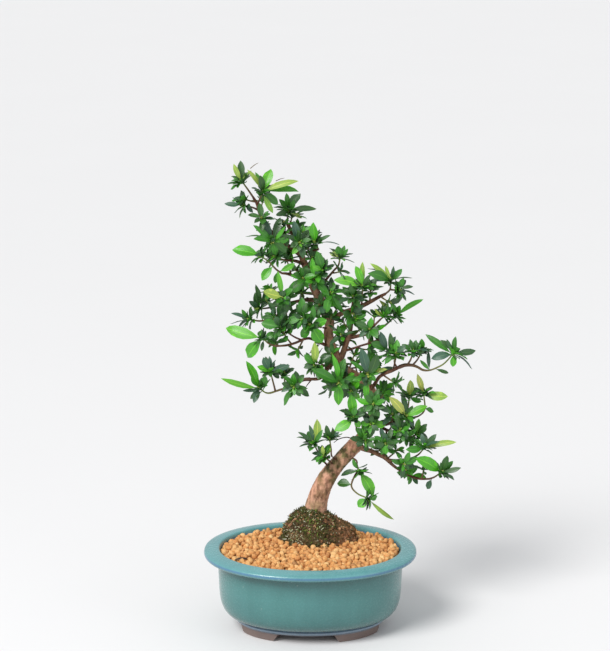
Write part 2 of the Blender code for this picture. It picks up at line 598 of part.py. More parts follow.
def foot(end_x, side_x, back):
    """One low foot under the pot's base: a stretch of the base's oval that narrows to its sloped ends."""
    inset = OUTER_FACE[1][0] + FOOT_SET_IN
    outer = (RIM_HALF[0] - inset, RIM_HALF[1] - inset)
    slope = math.copysign(FOOT_SLOPE, side_x)
    low_end = end_x + slope
    low_side = side_x - slope * FOOT_SIDE_SLOPE
    top = BASE_Z + FOOT_SINK
    sections = []
    for share in FOOT_SECTIONS:
        top_x = end_x + (side_x - end_x) * share
        low_x = low_end + (low_side - low_end) * share
        section = []
        for x, z, reach in ((top_x, top, 0.0), (low_x, 0.0, 0.0), (low_x, 0.0, FOOT_REACH),
                            (top_x, top, FOOT_REACH)):
            half = (outer[0] - reach, outer[1] - reach)
            x_on = x * half[0] / outer[0]
            y_on = half[1] * (1 - abs(x_on / half[0]) ** OVAL_POWER) ** (1 / OVAL_POWER)
            section.append((x_on, y_on * back, z))
        sections.append(np.array(section))
    return loft("foot", sections)


def make_pot():
    """The pot: one fired piece with its rim, ridge, four feet and two drain holes."""
    rings = [oval(RIM_HALF[0] - inset, RIM_HALF[1] - inset, z) for inset, z in OUTER_FACE + INNER_FACE]
    pot = loft("pot", rings)
    feet = []
    for end_x, side_x in zip(FRONT_FEET_X, (-FOOT_OUTER_X, FOOT_OUTER_X)):
        feet.append(foot(end_x, side_x, -1.0))
        feet.append(foot(end_x, side_x, 1.0))
    apply_boolean(pot, feet, "UNION")
    holes = [cylinder(DRAIN_RADIUS, 0.0, FLOOR_Z + 5.0, (x, 0.0)) for x in (-DRAIN_X, DRAIN_X)]
    apply_boolean(pot, holes, "DIFFERENCE")
    keep_largest_body(pot)
    return pot


def make_screen(name, x):
    """A flat square of plastic mesh over a drain hole."""
    cells = SCREEN_CELLS * 2 + 1
    pitch = (SCREEN_SIDE - SCREEN_BAR) / SCREEN_CELLS
    edges = []
    for bar in range(SCREEN_CELLS + 1):
        edges += [bar * pitch, bar * pitch + SCREEN_BAR]
    edges = np.array(edges) - SCREEN_SIDE / 2
    low = FLOOR_Z + GAP
    count = len(edges)
    points = []
    for z in (low, low + SCREEN_THICK):
        for across in edges:
            for along in edges:
                points.append((x + along, across, z))
    faces = []

    def solid(row, column):
        inside = 0 <= row < cells and 0 <= column < cells
        return inside and not (row % 2 and column % 2)

    layer = count * count
    for row in range(cells):
        for column in range(cells):
            if not solid(row, column):
                continue
            a = row * count + column
            b = a + 1
            c = b + count
            d = a + count
            faces.append((a, b, c, d))
            faces.append((a + layer, b + layer, c + layer, d + layer))
            for first, second, near in ((a, b, (row - 1, column)), (b, c, (row, column + 1)),
                                        (c, d, (row + 1, column)), (d, a, (row, column - 1))):
                if not solid(*near):
                    faces.append((first, second, second + layer, first + layer))
    screen = mesh_object(name, points, faces)
    keep_largest_body(screen)
    return screen


def soil_height(x, y):
    """The soil's level without its granules: it rises from the rim to the root ball."""
    out = ((abs(x) / RIM_HALF[0]) ** 2 + (abs(y) / RIM_HALF[1]) ** 2) ** 0.5
    return SOIL_EDGE_Z + SOIL_RISE * max(0.0, 1.0 - out / SOIL_RISE_REACH) ** 0.8


def grain_points(half_x, half_y, draw):
    """Tops of the granules on a shaken triangular grid inside the oval, each as x, y, z."""
    points = []
    rise = GRAIN_PITCH * math.sqrt(3) / 2
    rows = int(half_y / rise) + 1
    columns = int(half_x / GRAIN_PITCH) + 1
    for row in range(-rows, rows + 1):
        for column in range(-columns, columns + 1):
            x = (column + 0.5 * (row % 2)) * GRAIN_PITCH + draw.uniform(-GRAIN_SHAKE, GRAIN_SHAKE)
            y = row * rise + draw.uniform(-GRAIN_SHAKE, GRAIN_SHAKE)
            across = (abs(x) / (half_x - GRAIN_FROM_RIM)) ** OVAL_POWER
            if across + (abs(y) / (half_y - GRAIN_FROM_RIM)) ** OVAL_POWER < 1:
                points.append((x, y, soil_height(x, y) + draw.uniform(0.5, 1.0) * GRAIN_RELIEF))
    return points


def make_soil():
    """The soil: it fills the pot, with the granules as a relief of low peaks, and a hole for the root ball."""
    insets = [(inset, z) for inset, z in INNER_FACE if z < SOIL_EDGE_Z][::-1]
    rings = [oval(RIM_HALF[0] - inset - GAP, RIM_HALF[1] - inset - GAP, z) for inset, z in insets]
    rings[0][:, 2] += GAP + SCREEN_THICK + GAP
    half = (RIM_HALF[0] - SOIL_TOP_INSET - GAP, RIM_HALF[1] - SOIL_TOP_INSET - GAP)
    rings.append(oval(*half, SOIL_EDGE_Z))
    draw = np.random.default_rng(SEED)
    edit = bmesh.new()
    verts = [[edit.verts.new(point) for point in ring] for ring in rings]
    for low, high in zip(verts[:-1], verts[1:]):
        for side in range(OVAL_SIDES):
            after = (side + 1) % OVAL_SIDES
            edit.faces.new((low[side], low[after], high[after]))
            edit.faces.new((low[side], high[after], high[side]))
    centre = edit.verts.new(rings[0].mean(axis=0))
    for side in range(OVAL_SIDES):
        edit.faces.new((verts[0][(side + 1) % OVAL_SIDES], verts[0][side], centre))
    add_relief(edit, verts[-1], grain_points(*half, draw))
    bmesh.ops.recalc_face_normals(edit, faces=edit.faces)
    mesh = bpy.data.meshes.new("soil")
    edit.to_mesh(mesh)
    edit.free()
    soil = bpy.data.objects.new("soil", mesh)
    bpy.context.scene.collection.objects.link(soil)
    apply_boolean(soil, [ball_body("hole", HOLE_GAP)], "DIFFERENCE")
    keep_largest_body(soil)
    return soil


def add_relief(edit, rim, grains):
    """Spans the rim ring with triangles through the granules' tops and the low points between them."""
    flat = [Vector(vert.co.xy) for vert in rim]
    heights = [vert.co.z for vert in rim]
    edges = [(side, (side + 1) % len(rim)) for side in range(len(rim))]
    for x, y, z in grains:
        flat.append(Vector((x, y)))
        heights.append(z)
    tops = delaunay_2d_cdt(flat, edges, [], 1, MERGE)
    for triangle in tops[2]:
        x, y = np.mean([tops[0][corner] for corner in triangle], axis=0)
        if all(corner >= len(rim) for corner in triangle):
            flat.append(Vector((x, y)))
            heights.append(soil_height(x, y) - GRAIN_HOLLOW * GRAIN_RELIEF)
    cells = delaunay_2d_cdt(flat, edges, [], 1, MERGE)
    corners = list(rim) + [
        edit.verts.new((point.x, point.y, height)) for point, height in zip(flat[len(rim):], heights[len(rim):])
    ]
    for triangle in cells[2]:
        edit.faces.new([corners[corner] for corner in triangle])


def ball_body(name, extra):
    """The root ball's body, lumpy above the soil and plain below. With extra, a plain plug as wide as it."""
    draw = np.random.default_rng(SEED + 1)
    phases = draw.uniform(0, 2 * math.pi, 6)
    turn = np.arange(BALL_SIDES) * 2 * math.pi / BALL_SIDES
    from_lobe = (turn - LOBE_TURN + math.pi) % (2 * math.pi) - math.pi
    lobe = BALL_LOBE * np.exp(-((from_lobe / LOBE_SPREAD) ** 2))
    rings = []
    for row, (half_x, half_y, z, shift) in enumerate(BALL_RINGS):
        lump = np.zeros(BALL_SIDES)
        if z > LUMPS_FROM_Z and not extra:
            waves = np.sin(3 * turn + phases[0] + z * 0.3) + np.sin(7 * turn + phases[1] - z * 0.5)
            lump = BALL_LUMP * waves + lobe
            if row == len(BALL_RINGS) - 1:
                lump *= TOP_LUMP_SHARE
        x = BALL_CENTRE[0] + shift + (half_x + extra + lump) * np.cos(turn)
        y = BALL_CENTRE[1] + (half_y + extra + lump * 0.8) * np.sin(turn)
        rings.append(np.column_stack([x, y, np.full(BALL_SIDES, z)]))
    if extra:
        rings = rings[:3]
        rings[0][:, 2] -= extra
        top = rings[-1].copy()
        top[:, 2] = HOLE_TOP_Z
        rings.append(top)
    return loft(name, rings)


def growth_path(rows):
    """A path of x, y, z, radius from rows of x, z, depth, radius."""
    return np.array([(*place(x, z, y), radius) for x, z, y, radius in rows])


def tube_shape(path, sides):
    """Points and outward triangles of a closed tube along a path of x, y, z, radius."""
    centres = path[:, :3]
    along = np.gradient(centres, axis=0)
    along /= np.linalg.norm(along, axis=1)[:, None]
    across = np.cross(along[0], RING_START)
    across /= np.linalg.norm(across)
    turn = np.arange(sides) * 2 * math.pi / sides
    rings = []
    before = along[0]
    for centre, way, radius in zip(centres, along, path[:, 3]):
        # the ring is carried along with the least turn from one way to the next
        axis = np.cross(before, way)
        near = np.dot(before, way)
        across = across * near + np.cross(axis, across) + axis * np.dot(axis, across) / (1 + near)
        across /= np.linalg.norm(across)
        before = way
        upward = np.cross(way, across)
        circle = np.outer(np.cos(turn), across) + np.outer(np.sin(turn), upward)
        rings.append(centre + circle * radius)
    return loft_shape(rings)


def tube(name, path, sides):
    """An object whose body is a closed tube along the path."""
    return mesh_object(name, *tube_shape(path, sides))


def reach_along(path):
    """How far along the path each of its rows is."""
    steps = np.linalg.norm(np.diff(path[:, :3], axis=0), axis=1)
    return np.concatenate([[0.0], np.cumsum(steps)])


def row_at(path, distance, radius):
    """A row of x, y, z, radius on the path at a distance along it."""
    reach = reach_along(path)
    return np.array([*(np.interp(distance, reach, path[:, axis]) for axis in range(3)), radius])


def split_path(path, cut):
    """The path up to a distance along it, and the rest of it beyond a gap."""
    reach = reach_along(path)
    before = [*path[reach < cut - CUT_ROOM], row_at(path, cut, STEM_RADIUS)] if cut > 0 else None
    after = [row_at(path, cut + GAP, STEM_RADIUS), *path[reach > cut + GAP + CUT_ROOM]]
    return np.array(before), np.array(after)


def leaf_sections(base, tip, width, facing, stations, grow=0.0):
    """The three-sided sections of one leaf, flat above with a keel below, arched along its length.

    facing is the way its upper face looks, and grow widens them all round for a test of clearance."""
    axis = tip - base
    side = axis.cross(facing).normalized()
    up = side.cross(axis).normalized()
    sections = []
    for share, spread in stations:
        half = width / 2 * spread + grow
        middle = base + axis * share + up * (axis.length * LEAF_ARCH * 4 * share * (1 - share))
        upper = up * (LEAF_THICK / 3 + grow)
        lower = up * (LEAF_THICK * 2 / 3 + grow)
        sections.append([middle - side * half + upper, middle + side * half + upper, middle - lower])
    return sections


def matched(corners, section, spots):
    """The root's corners in the turn of their cycle that lies nearest to the section's three points."""
    middle = sum((spots[corner] for corner in corners), Vector()) / 3
    centre = sum(section, Vector()) / 3

    def twist(turn):
        gaps = 0.0
        for index in range(3):
            from_root = (spots[corners[(turn + index) % 3]] - middle).normalized()
            gaps += (from_root - (section[index] - centre).normalized()).length_squared
        return gaps

    turn = min(range(3), key=twist)
    return [corners[(turn + index) % 3] for index in range(3)]


def leaf_faces(count):
    """Triangles from three root corners through count sections to the tip, open at the root."""
    faces = []
    for row in range(count):
        for corner in range(3):
            near = row * 3 + corner
            after = row * 3 + (corner + 1) % 3
            faces += [(near, after, after + 3), (near, after + 3, near + 3)]
    last = count * 3
    return faces + [(last + corner, last + (corner + 1) % 3, last + 3) for corner in range(3)]


def is_whole(spots):
    """Whether each face between a root's three corners and the leaf's first section shows its inner side to the
    middle of the six spots, so that none folds over another."""
    centre = sum(spots, Vector()) / len(spots)
    for one, two, three in leaf_faces(1)[:6]:
        outward = (spots[two] - spots[one]).cross(spots[three] - spots[one])
        if outward.dot(spots[one] - centre) <= 0:
            return False
    return True


def tree_of(points, faces):
    """A search tree of triangles."""
    return BVHTree.FromPolygons([Vector(point) for point in points], faces)


def object_tree(item):
    """A search tree of an object's faces."""
    mesh = item.data
    return tree_of([vert.co for vert in mesh.vertices], [tuple(face.vertices) for face in mesh.polygons])


def crosses(points, faces, taken):
    """Whether the triangles cut through any of the trees."""
    test = tree_of(points, faces)
    return any(test.overlap(other) for other in taken)


def seen_leaf(start, row, bud_depth, draw):
    """The tip, width, facing and depth of a leaf that is given by where its tip shows."""
    x, z, width = row[:3]
    flat = (place(x, z, bud_depth) - start).length
    depth = bud_depth + draw.uniform(-DEPTH_SPREAD, DEPTH_SPREAD) * flat
    to_eye = (EYE - start).normalized()
    tip = place(x, z, depth)
    if width < NARROW:
        # an edge-on blade: its flat side looks up, and a little towards the eye
        facing = (tip - start).cross(to_eye).normalized() + to_eye * 0.25
        if facing.z < 0:
            facing = to_eye * 0.5 - facing
        return tip, EDGE_ON_WIDTH, facing, depth
    facing = to_eye * 0.8 + Vector((draw.uniform(-0.3, 0.3), 0, draw.uniform(0.1, 0.5)))
    return tip, width, facing, depth


def whorl_leaf(bud, forward, turn, draw):
    """The tip and facing of a leaf that isn't given one by one, which leans out from the stem at a turn."""
    across = forward.cross(Vector(STEADY_WAY)).normalized()
    out = Matrix.Rotation(turn, 3, forward) @ across
    way = (out + forward * draw.uniform(*WHORL_LEAN)).normalized()
    return bud + way * draw.uniform(*WHORL_LENGTH), forward + Vector((0, 0, 0.4))


class Shoot:
    """One stem with its leaves, as one closed body of triangles: each leaf takes the place of a triangle."""

    def __init__(self, path, taken, others):
        points, self.faces = tube_shape(path[:-1], STEM_SIDES)
        self.points = [Vector(point) for point in points]
        self.points[-1] = Vector(path[-1, :3])
        self.free = set(range(len(self.faces)))
        self.taken = taken
        self.whole = [tree_of(self.points, self.faces)]
        self.outer = list(others)

    def roots(self, start, tip):
        """The free triangles near start that look most towards the tip."""
        found = []
        for index in self.free:
            a, b, c = (self.points[corner] for corner in self.faces[index])
            middle = (a + b + c) / 3
            look = (b - a).cross(c - a).normalized().dot((tip - middle).normalized())
            if look > ROOT_LOOK and (middle - start).length < ROOT_REACH:
                found.append((look, index, middle))
        return sorted(found, reverse=True)[:ROOTS_TRIED]

    def grow(self, start, options, width, facing, stations):
        """Grows a leaf to the first of the tips that keeps it clear of all else, and says if there was one."""
        for tip in options:
            for _, index, middle in self.roots(start, tip):
                sections = leaf_sections(middle, tip, width, facing, stations)
                if self.folds(self.faces[index], sections[0], (tip - middle).normalized()):
                    continue
                corners = matched(self.faces[index], sections[0], self.points)
                if not is_whole([self.points[corner] for corner in corners] + sections[0]):
                    continue
                if self.is_clear(corners, middle, tip, width, facing, stations, sections):
                    self.add(index, corners, sections, tip)
                    return True
        return False

    def folds(self, corners, section, way):
        """Whether a root reaches past the leaf's first section, so that the leaf would fold over itself."""
        furthest = max(self.points[corner].dot(way) for corner in corners)
        return furthest > min(spot.dot(way) for spot in section) - FOLD_ROOM

    def is_clear(self, corners, middle, tip, width, facing, stations, sections):
        """Whether a leaf keeps off what is taken, and off this spray's own parts past its root."""
        faces = leaf_faces(len(sections))
        wide = leaf_sections(middle, tip, width, facing, stations, LEAF_CLEAR)
        beyond = tip + (tip - middle).normalized() * LEAF_CLEAR
        root = [self.points[corner] for corner in corners]
        if crosses(root + sum(wide, []) + [beyond], faces, self.taken):
            return False
        for share, trees in ((ROOT_SHARE, self.whole), (ROOT_SHARE / 4, self.outer)):
            start = [spot.lerp(after, share) for spot, after in zip(root, sections[0])]
            if crosses(start + sum(sections, []) + [tip], faces, trees):
                return False
        return True

    def add(self, index, corners, sections, tip):
        """Puts a leaf in the place of the triangle at index."""
        root = [self.points[corner] for corner in corners]
        new = sum(sections, []) + [tip]
        faces = leaf_faces(len(sections))
        start = [spot.lerp(after, ROOT_SHARE) for spot, after in zip(root, sections[0])]
        self.whole.append(tree_of(root + new, faces))
        self.outer.append(tree_of(start + new, faces))
        numbers = list(corners) + list(range(len(self.points), len(self.points) + len(new)))
        self.points += new
        self.free.remove(index)
        self.faces[index] = None
        self.faces += [tuple(numbers[corner] for corner in face) for face in faces]

    def body(self, name):
        """The shoot as an object."""
        return mesh_object(name, self.points, [face for face in self.faces if face])


def grow_leaves(shoot, path, places, rows, draw):
    """The leaves of one shoot: those that are given, then extra ones round the back of the whorl."""
    bud = Vector(path[-3, :3])
    forward = Vector(path[-1, :3] - path[-3, :3]).normalized()
    for row in rows:
        start = places[row[3]] if len(row) > 3 else bud
        tip, width, facing, depth = seen_leaf(start, row, start.y, draw)
        options = [tip] + [place(row[0], row[1], depth + shift) for shift in DEPTH_SHIFTS]
        stations = NARROW_STATIONS if row[2] < NARROW else LEAF_STATIONS
        shoot.grow(start, options, width, facing, stations)
    turn = draw.uniform(0, 2 * math.pi)
    added = 0
    wanted = EXTRA_LEAVES if rows else BACK_LEAVES
    for attempt in range(MOST_TRIES):
        if added == wanted:
            break
        tip, facing = whorl_leaf(bud, forward, turn + attempt * NEXT_LEAF_TURN, draw)
        if rows and tip.y < bud.y:
            tip = bud.lerp(tip, FRONT_SHARE)
        added += shoot.grow(bud, [tip], WHORL_WIDTH, facing, NARROW_STATIONS)


def centre_line(route):
    """A stem's centre line as rows of x, y, z, radius, where a spot of the route may give its own radius."""
    return np.array([(*place(*spot[:3]), spot[3] if len(spot) > 3 else STEM_RADIUS) for spot in route])


def stem_path(path, joints):
    """A stem's rings as x, y, z, radius, with two rings at each leaf joint and those of the whorl at its end."""
    reach = reach_along(path)
    whole = reach[-1]
    way = path[-1, :3] - path[-2, :3]
    way /= np.linalg.norm(way)
    rings = [(distance, row) for distance, row in zip(reach[:-1], path[:-1])
             if all(abs(distance - joint * whole) > JOINT_ROOM for joint in joints) or distance == 0]
    for joint in joints:
        for shift, radius in JOINT_RINGS:
            rings.append((joint * whole + shift, row_at(path, joint * whole + shift, radius)))
    rings = [row for _, row in sorted(rings, key=lambda ring: ring[0])]
    rings += [(*(path[-1, :3] + way * shift), radius) for shift, radius in WHORL_RINGS]
    return np.vstack([*rings, (*(path[-1, :3] + way * BUD_TIP), 0.0)])


def make_wood(sprays):
    """Trunk, leaders, branches and the bare twigs that the sprays grow from, as one body."""
    items = [tube("wood", growth_path(TRUNK), 12), tube("wood", growth_path(LEADER), 8)]
    items.append(tube("wood", growth_path(SECOND_LEADER), 6))
    items += [tube("wood", growth_path(rows), 5) for rows in BRANCHES]
    for _, share, shoots in sprays:
        if share > 0:
            path = centre_line(shoots[0][0])
            twig, _ = split_path(path, share * reach_along(path)[-1])
            items.append(tube("wood", twig, STEM_SIDES))
    return fuse(items)


def carried_on(path):
    """The path with its start turned into the way that the branch ends that it carries on."""
    for rows in (LEADER, SECOND_LEADER, *BRANCHES):
        branch = growth_path(rows)
        way = branch[-1, :3] - branch[-2, :3]
        way /= np.linalg.norm(way)
        if np.linalg.norm(branch[-1, :3] - path[0, :3]) < GAP:
            start = [(*(branch[-1, :3] + way * reach), path[0, 3]) for reach in (GAP, CARRY_REACH)]
            return np.vstack([start, path[reach_along(path) > CARRY_ROOM]])
    return path


def spray_stems(spray):
    """Each shoot of a spray as its stem's rings, the places of its leaf joints, and its leaves' rows."""
    _, share, shoots = spray
    stems = []
    for order, (route, rows) in enumerate(shoots):
        line = centre_line(route)
        length = reach_along(line)[-1]
        joints = sorted({row[3] for row in rows if len(row) > 3})
        path = stem_path(line, joints)
        if order == 0:
            path = split_path(path, share * length)[1] if share else carried_on(path)
        places = {joint: Vector(row_at(line, joint * length, 0.0)[:3]) for joint in joints}
        stems.append((path, places, rows))
    return stems


def stems_tree(spray):
    """The bare stems of a spray, for the clearance of other sprays' leaves."""
    points = []
    faces = []
    for path, _, _ in spray_stems(spray):
        more, triangles = tube_shape(path, STEM_SIDES)
        faces += [tuple(corner + len(points) for corner in triangle) for triangle in triangles]
        points += list(more)
    return tree_of(points, faces)


def make_spray(number, spray, taken):
    """One leafy spray: its shoots' stems, buds and leaves as one body."""
    draw = np.random.default_rng(SEED * 100 + number)
    bodies = []
    others = []
    for path, places, rows in spray_stems(spray):
        shoot = Shoot(path, taken, others)
        grow_leaves(shoot, path, places, rows, draw)
        bodies.append(shoot.body("spray"))
        others = shoot.outer
    item = fuse(bodies, "MANIFOLD")
    item.name = f"spray_{spray[0]}"
    return item


def make_root_ball(plug):
    """The root ball with a plain hole for the foot of the trunk."""
    ball = ball_body("root_ball", 0.0)
    apply_boolean(ball, [plug], "DIFFERENCE")
    keep_largest_body(ball)
    return ball


def trunk_plug():
    """A copy of the trunk's lower stretch, a gap wider all round, as the cutter for its hole."""
    rows = [(x, z, y, radius + PLUG_GAP) for x, z, y, radius in TRUNK[:5]]
    rows[0] = (rows[0][0], rows[0][1] - GAP, rows[0][2], rows[0][3])
    return tube("plug", growth_path(rows), 12)


def stand_on_origin(items):
    """Turns millimetres to metres, and moves the tree so that the middle of its box is over the origin."""
    for item in items:
        item.data.transform(Matrix.Scale(MM, 4))
    corners = np.array([tuple(vert.co) for item in items for vert in item.data.vertices])
    low = corners.min(axis=0)
    high = corners.max(axis=0)
    stand = bpy.data.objects.new("bonsai", None)
    bpy.context.scene.collection.objects.link(stand)
    stand.location = (-(low[0] + high[0]) / 2, -(low[1] + high[1]) / 2, -low[2])
    for item in items:
        item.parent = stand


def main():
    clear_scene()
    glaze = finish_material("teal_glaze", (0.18, 0.36, 0.31), 0.18)
    clay = finish_material("baked_clay", (0.72, 0.36, 0.12), 0.9)
    fibre = finish_material("root_fibre", (0.12, 0.075, 0.05), 0.95)
    bark = finish_material("bark", (0.25, 0.12, 0.07), 0.8)
    plastic = finish_material("black_plastic", (0.02, 0.02, 0.02), 0.5)
    leaf = finish_material("leaf", (0.06, 0.17, 0.04), 0.45)

    pot = make_pot()
    screens = [make_screen("drain_screen_left", -DRAIN_X), make_screen("drain_screen_right", DRAIN_X)]
    soil = make_soil()
    ball = make_root_ball(trunk_plug())
    wood = make_wood(SPRAYS)
    wood.name = "wood"
    nodes = [(pot, glaze), (screens[0], plastic), (screens[1], plastic)]
    nodes += [(soil, clay), (ball, fibre), (wood, bark)]
    fixed = [object_tree(item) for item, _ in nodes]
    sprays = [stems_tree(spray) for spray in SPRAYS]
    for number, spray in enumerate(SPRAYS):
        item = make_spray(number, spray, fixed + sprays[:number] + sprays[number + 1 :])
        sprays[number] = object_tree(item)
        nodes.append((item, leaf))
    for item, material in nodes:
        item.data.materials.clear()
        item.data.materials.append(material)
        item.data.shade_smooth()
        item.data.set_sharp_from_angle(angle=math.radians(SMOOTH_ANGLE))
    stand_on_origin([item for item, _ in nodes])


main()
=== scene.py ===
"""A satsuki azalea bonsai in a glazed oval pot: fine pieces, finishes, stage and camera around the CAD frame.

Sizes are in millimetres from the middle of the pot's foot unless a name or a property says otherwise, and the
finished meshes are in metres in the frame's own place.
"""

import math

import bpy
import numpy as np
from bpy.props import FloatProperty, FloatVectorProperty, IntProperty, PointerProperty
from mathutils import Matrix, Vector


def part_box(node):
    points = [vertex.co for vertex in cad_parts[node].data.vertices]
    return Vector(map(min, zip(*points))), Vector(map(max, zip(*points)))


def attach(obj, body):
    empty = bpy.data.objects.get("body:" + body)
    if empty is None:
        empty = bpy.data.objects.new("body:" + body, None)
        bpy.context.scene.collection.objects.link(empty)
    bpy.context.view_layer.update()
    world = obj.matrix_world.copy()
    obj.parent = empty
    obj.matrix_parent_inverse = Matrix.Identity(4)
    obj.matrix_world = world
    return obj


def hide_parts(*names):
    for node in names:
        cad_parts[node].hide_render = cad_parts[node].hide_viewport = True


bl_info = {
    "name": "Azalea bonsai",
    "version": (1, 0, 0),
    "blender": (4, 5, 0),
    "location": "3D Viewport > Sidebar > Bonsai",
    "description": "Builds the fine pieces of a potted azalea bonsai around its CAD frame",
    "category": "Object",
}

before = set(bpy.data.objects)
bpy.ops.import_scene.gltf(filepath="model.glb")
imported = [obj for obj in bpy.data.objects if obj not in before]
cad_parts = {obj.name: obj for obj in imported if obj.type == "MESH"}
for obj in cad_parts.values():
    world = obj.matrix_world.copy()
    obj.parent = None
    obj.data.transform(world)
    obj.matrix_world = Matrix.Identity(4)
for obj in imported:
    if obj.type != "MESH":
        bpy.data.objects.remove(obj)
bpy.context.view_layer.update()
MM = 0.001
POT_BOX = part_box("pot")
POT_MIDDLE = np.array([(POT_BOX[0].x + POT_BOX[1].x) / 2, (POT_BOX[0].y + POT_BOX[1].y) / 2, 0.0])
SEED = 29

# The photograph's viewpoint: a pinhole in front of the pot, looking slightly down
EYE = np.array([-4.7, -1800.0, 718.5])
LAYOUT_Y = 22.0
LOOK_DOWN = math.radians(13.7445)
LENS = 117.55

# Wood: rows of x, z, depth and radius, where x and z say where the place shows on the upright plane LAYOUT_Y
TRUNK = (
    (2.5, 60, 24, 12.6), (3.2, 88, 24, 12.2), (4.6, 100, 24, 10.6), (6.4, 110, 24, 9.4),
    (9.4, 120, 24, 8.7), (13.9, 130, 23.5, 8.1), (20.4, 140, 23, 7.4), (28.5, 150, 22.5, 6.9),
    (36.5, 159, 22, 7.0), (43.2, 166, 22, 7.2),
)  # fmt: skip
LEADER = (
    (40, 162, 22, 5.2), (46, 171, 24, 4.7), (52, 181, 26, 4.5), (56, 193, 27, 4.4),
    (57, 204, 26, 4.4), (54, 212.5, 24, 4.5), (48, 220, 22, 4.5), (40, 226.5, 21, 4.5),
    (31, 232, 20, 4.7), (25, 239, 20, 4.9), (21, 248, 20, 4.7), (17.3, 257, 21, 4.5),
    (16, 266, 22, 4.4), (17, 275, 23, 4.3), (15, 285, 23, 4.1), (10, 294, 22, 3.9),
    (4, 305, 22, 3.6), (-1, 318, 23, 3.3), (-6, 331, 24, 3.0), (-10, 342, 25, 2.6),
    (-15, 354, 26, 2.1), (-20, 364, 26, 1.5),
)  # fmt: skip
SECOND_LEADER = (
    (25, 239, 20, 3.2), (28.7, 247, 18, 2.8), (31.2, 255, 17, 2.5), (34, 263, 17, 2.2),
    (36, 271, 18, 1.5), (37, 277, 18, 1.1),
)  # fmt: skip
BRANCHES = (
    ((33, 261, 17, 1.7), (43, 263.5, 14, 1.5), (52, 266, 12, 1.4), (60, 269.5, 12, 1.2), (66, 273, 13, 1.0)),
    ((48, 265, 13, 1.3), (55, 271.5, 9, 1.1), (60, 276.5, 8, 0.9)),
    ((31, 250, 17, 1.3), (38, 252, 14, 1.0), (45, 254.5, 11, 0.9), (53, 257, 9, 0.9), (60, 260, 8, 0.8)),
    ((15, 281, 23, 2.8), (22, 281, 19, 2.4), (29, 284.5, 16, 2.2), (37, 287.5, 14, 2.1),
     (45, 290.5, 13, 2.0), (53, 294.5, 12, 1.8), (60, 298.5, 11, 1.5), (66, 301.5, 10, 1.2)),
    ((-8, 337, 25, 1.8), (-1, 339.5, 21, 1.2), (7, 341.3, 18, 0.9)),
    ((4, 305, 22, 1.8), (10, 310, 18, 1.3), (16, 317, 15, 1.1), (21, 323, 13, 0.9)),
    ((-8, 336, 24, 2.4), (-17, 343, 20, 1.9), (-27, 350, 17, 1.8), (-35, 358, 15, 1.7),
     (-41, 366, 13, 1.6), (-44.5, 375, 12, 1.5), (-46.5, 382, 11, 1.3), (-50, 388, 10, 1.0)),
    ((1, 311, 22, 2.2), (-6, 314, 17, 1.8), (-13, 317, 13, 1.5), (-20, 319.5, 10, 1.2), (-25, 320, 8, 0.9)),
    ((-5, 328, 23, 1.9), (-13, 331, 18, 1.4), (-20, 331.5, 14, 1.0)),
    ((8, 296, 22, 2.4), (-4, 296, 27, 1.8), (-15, 294, 30, 1.4), (-25, 292, 31, 1.2), (-34, 289.5, 31, 0.9)),
    ((-13, 294, 29.5, 1.4), (-24, 286, 26, 1.1), (-33, 280, 24, 0.9), (-39, 277.5, 23, 0.8)),
    ((15, 254.5, 21, 1.9), (8, 257.5, 14, 1.3), (0, 261, 8, 1.2), (-6, 260.3, 5, 1.2),
     (-12, 257.5, 4, 1.1), (-20, 255, 3, 1.0), (-30, 254, 3, 0.9)),
    ((24, 241, 20, 2.4), (18, 236.5, 12, 1.8), (13, 230, 8, 1.6), (8, 224.5, 6, 1.5), (0, 223.8, 5, 1.4)),
    ((53, 213.5, 24, 2.4), (57, 219, 16, 1.7), (61, 225.5, 11, 1.6), (66, 229, 8, 1.6), (72, 231.5, 6, 1.6),
     (79, 235, 5, 1.5)),
    ((42, 162, 22, 3.2), (50, 158.5, 18, 2.3), (55, 157, 16, 2.1), (61, 154, 14, 2.0), (66, 151.5, 13, 1.9),
     (70, 148.7, 12, 1.7), (77, 148.3, 9, 1.3), (84, 149, 7, 1.2), (91, 150.3, 6, 1.0)),
    ((68, 150, 12.5, 1.8), (76, 142.3, 14, 1.3), (84, 137.5, 15, 1.3), (92, 133, 15, 1.2), (99, 131, 14, 1.0),
     (107, 131, 12, 0.9)),
    ((52, 181, 26, 2.6), (62, 181, 24, 1.7), (71, 183, 20, 1.4), (79, 186, 16, 1.1)),
    ((60, 181, 24.5, 1.6), (70, 176, 28, 1.3), (80, 172, 28, 1.1), (87, 170, 26, 0.9)),
)  # fmt: skip

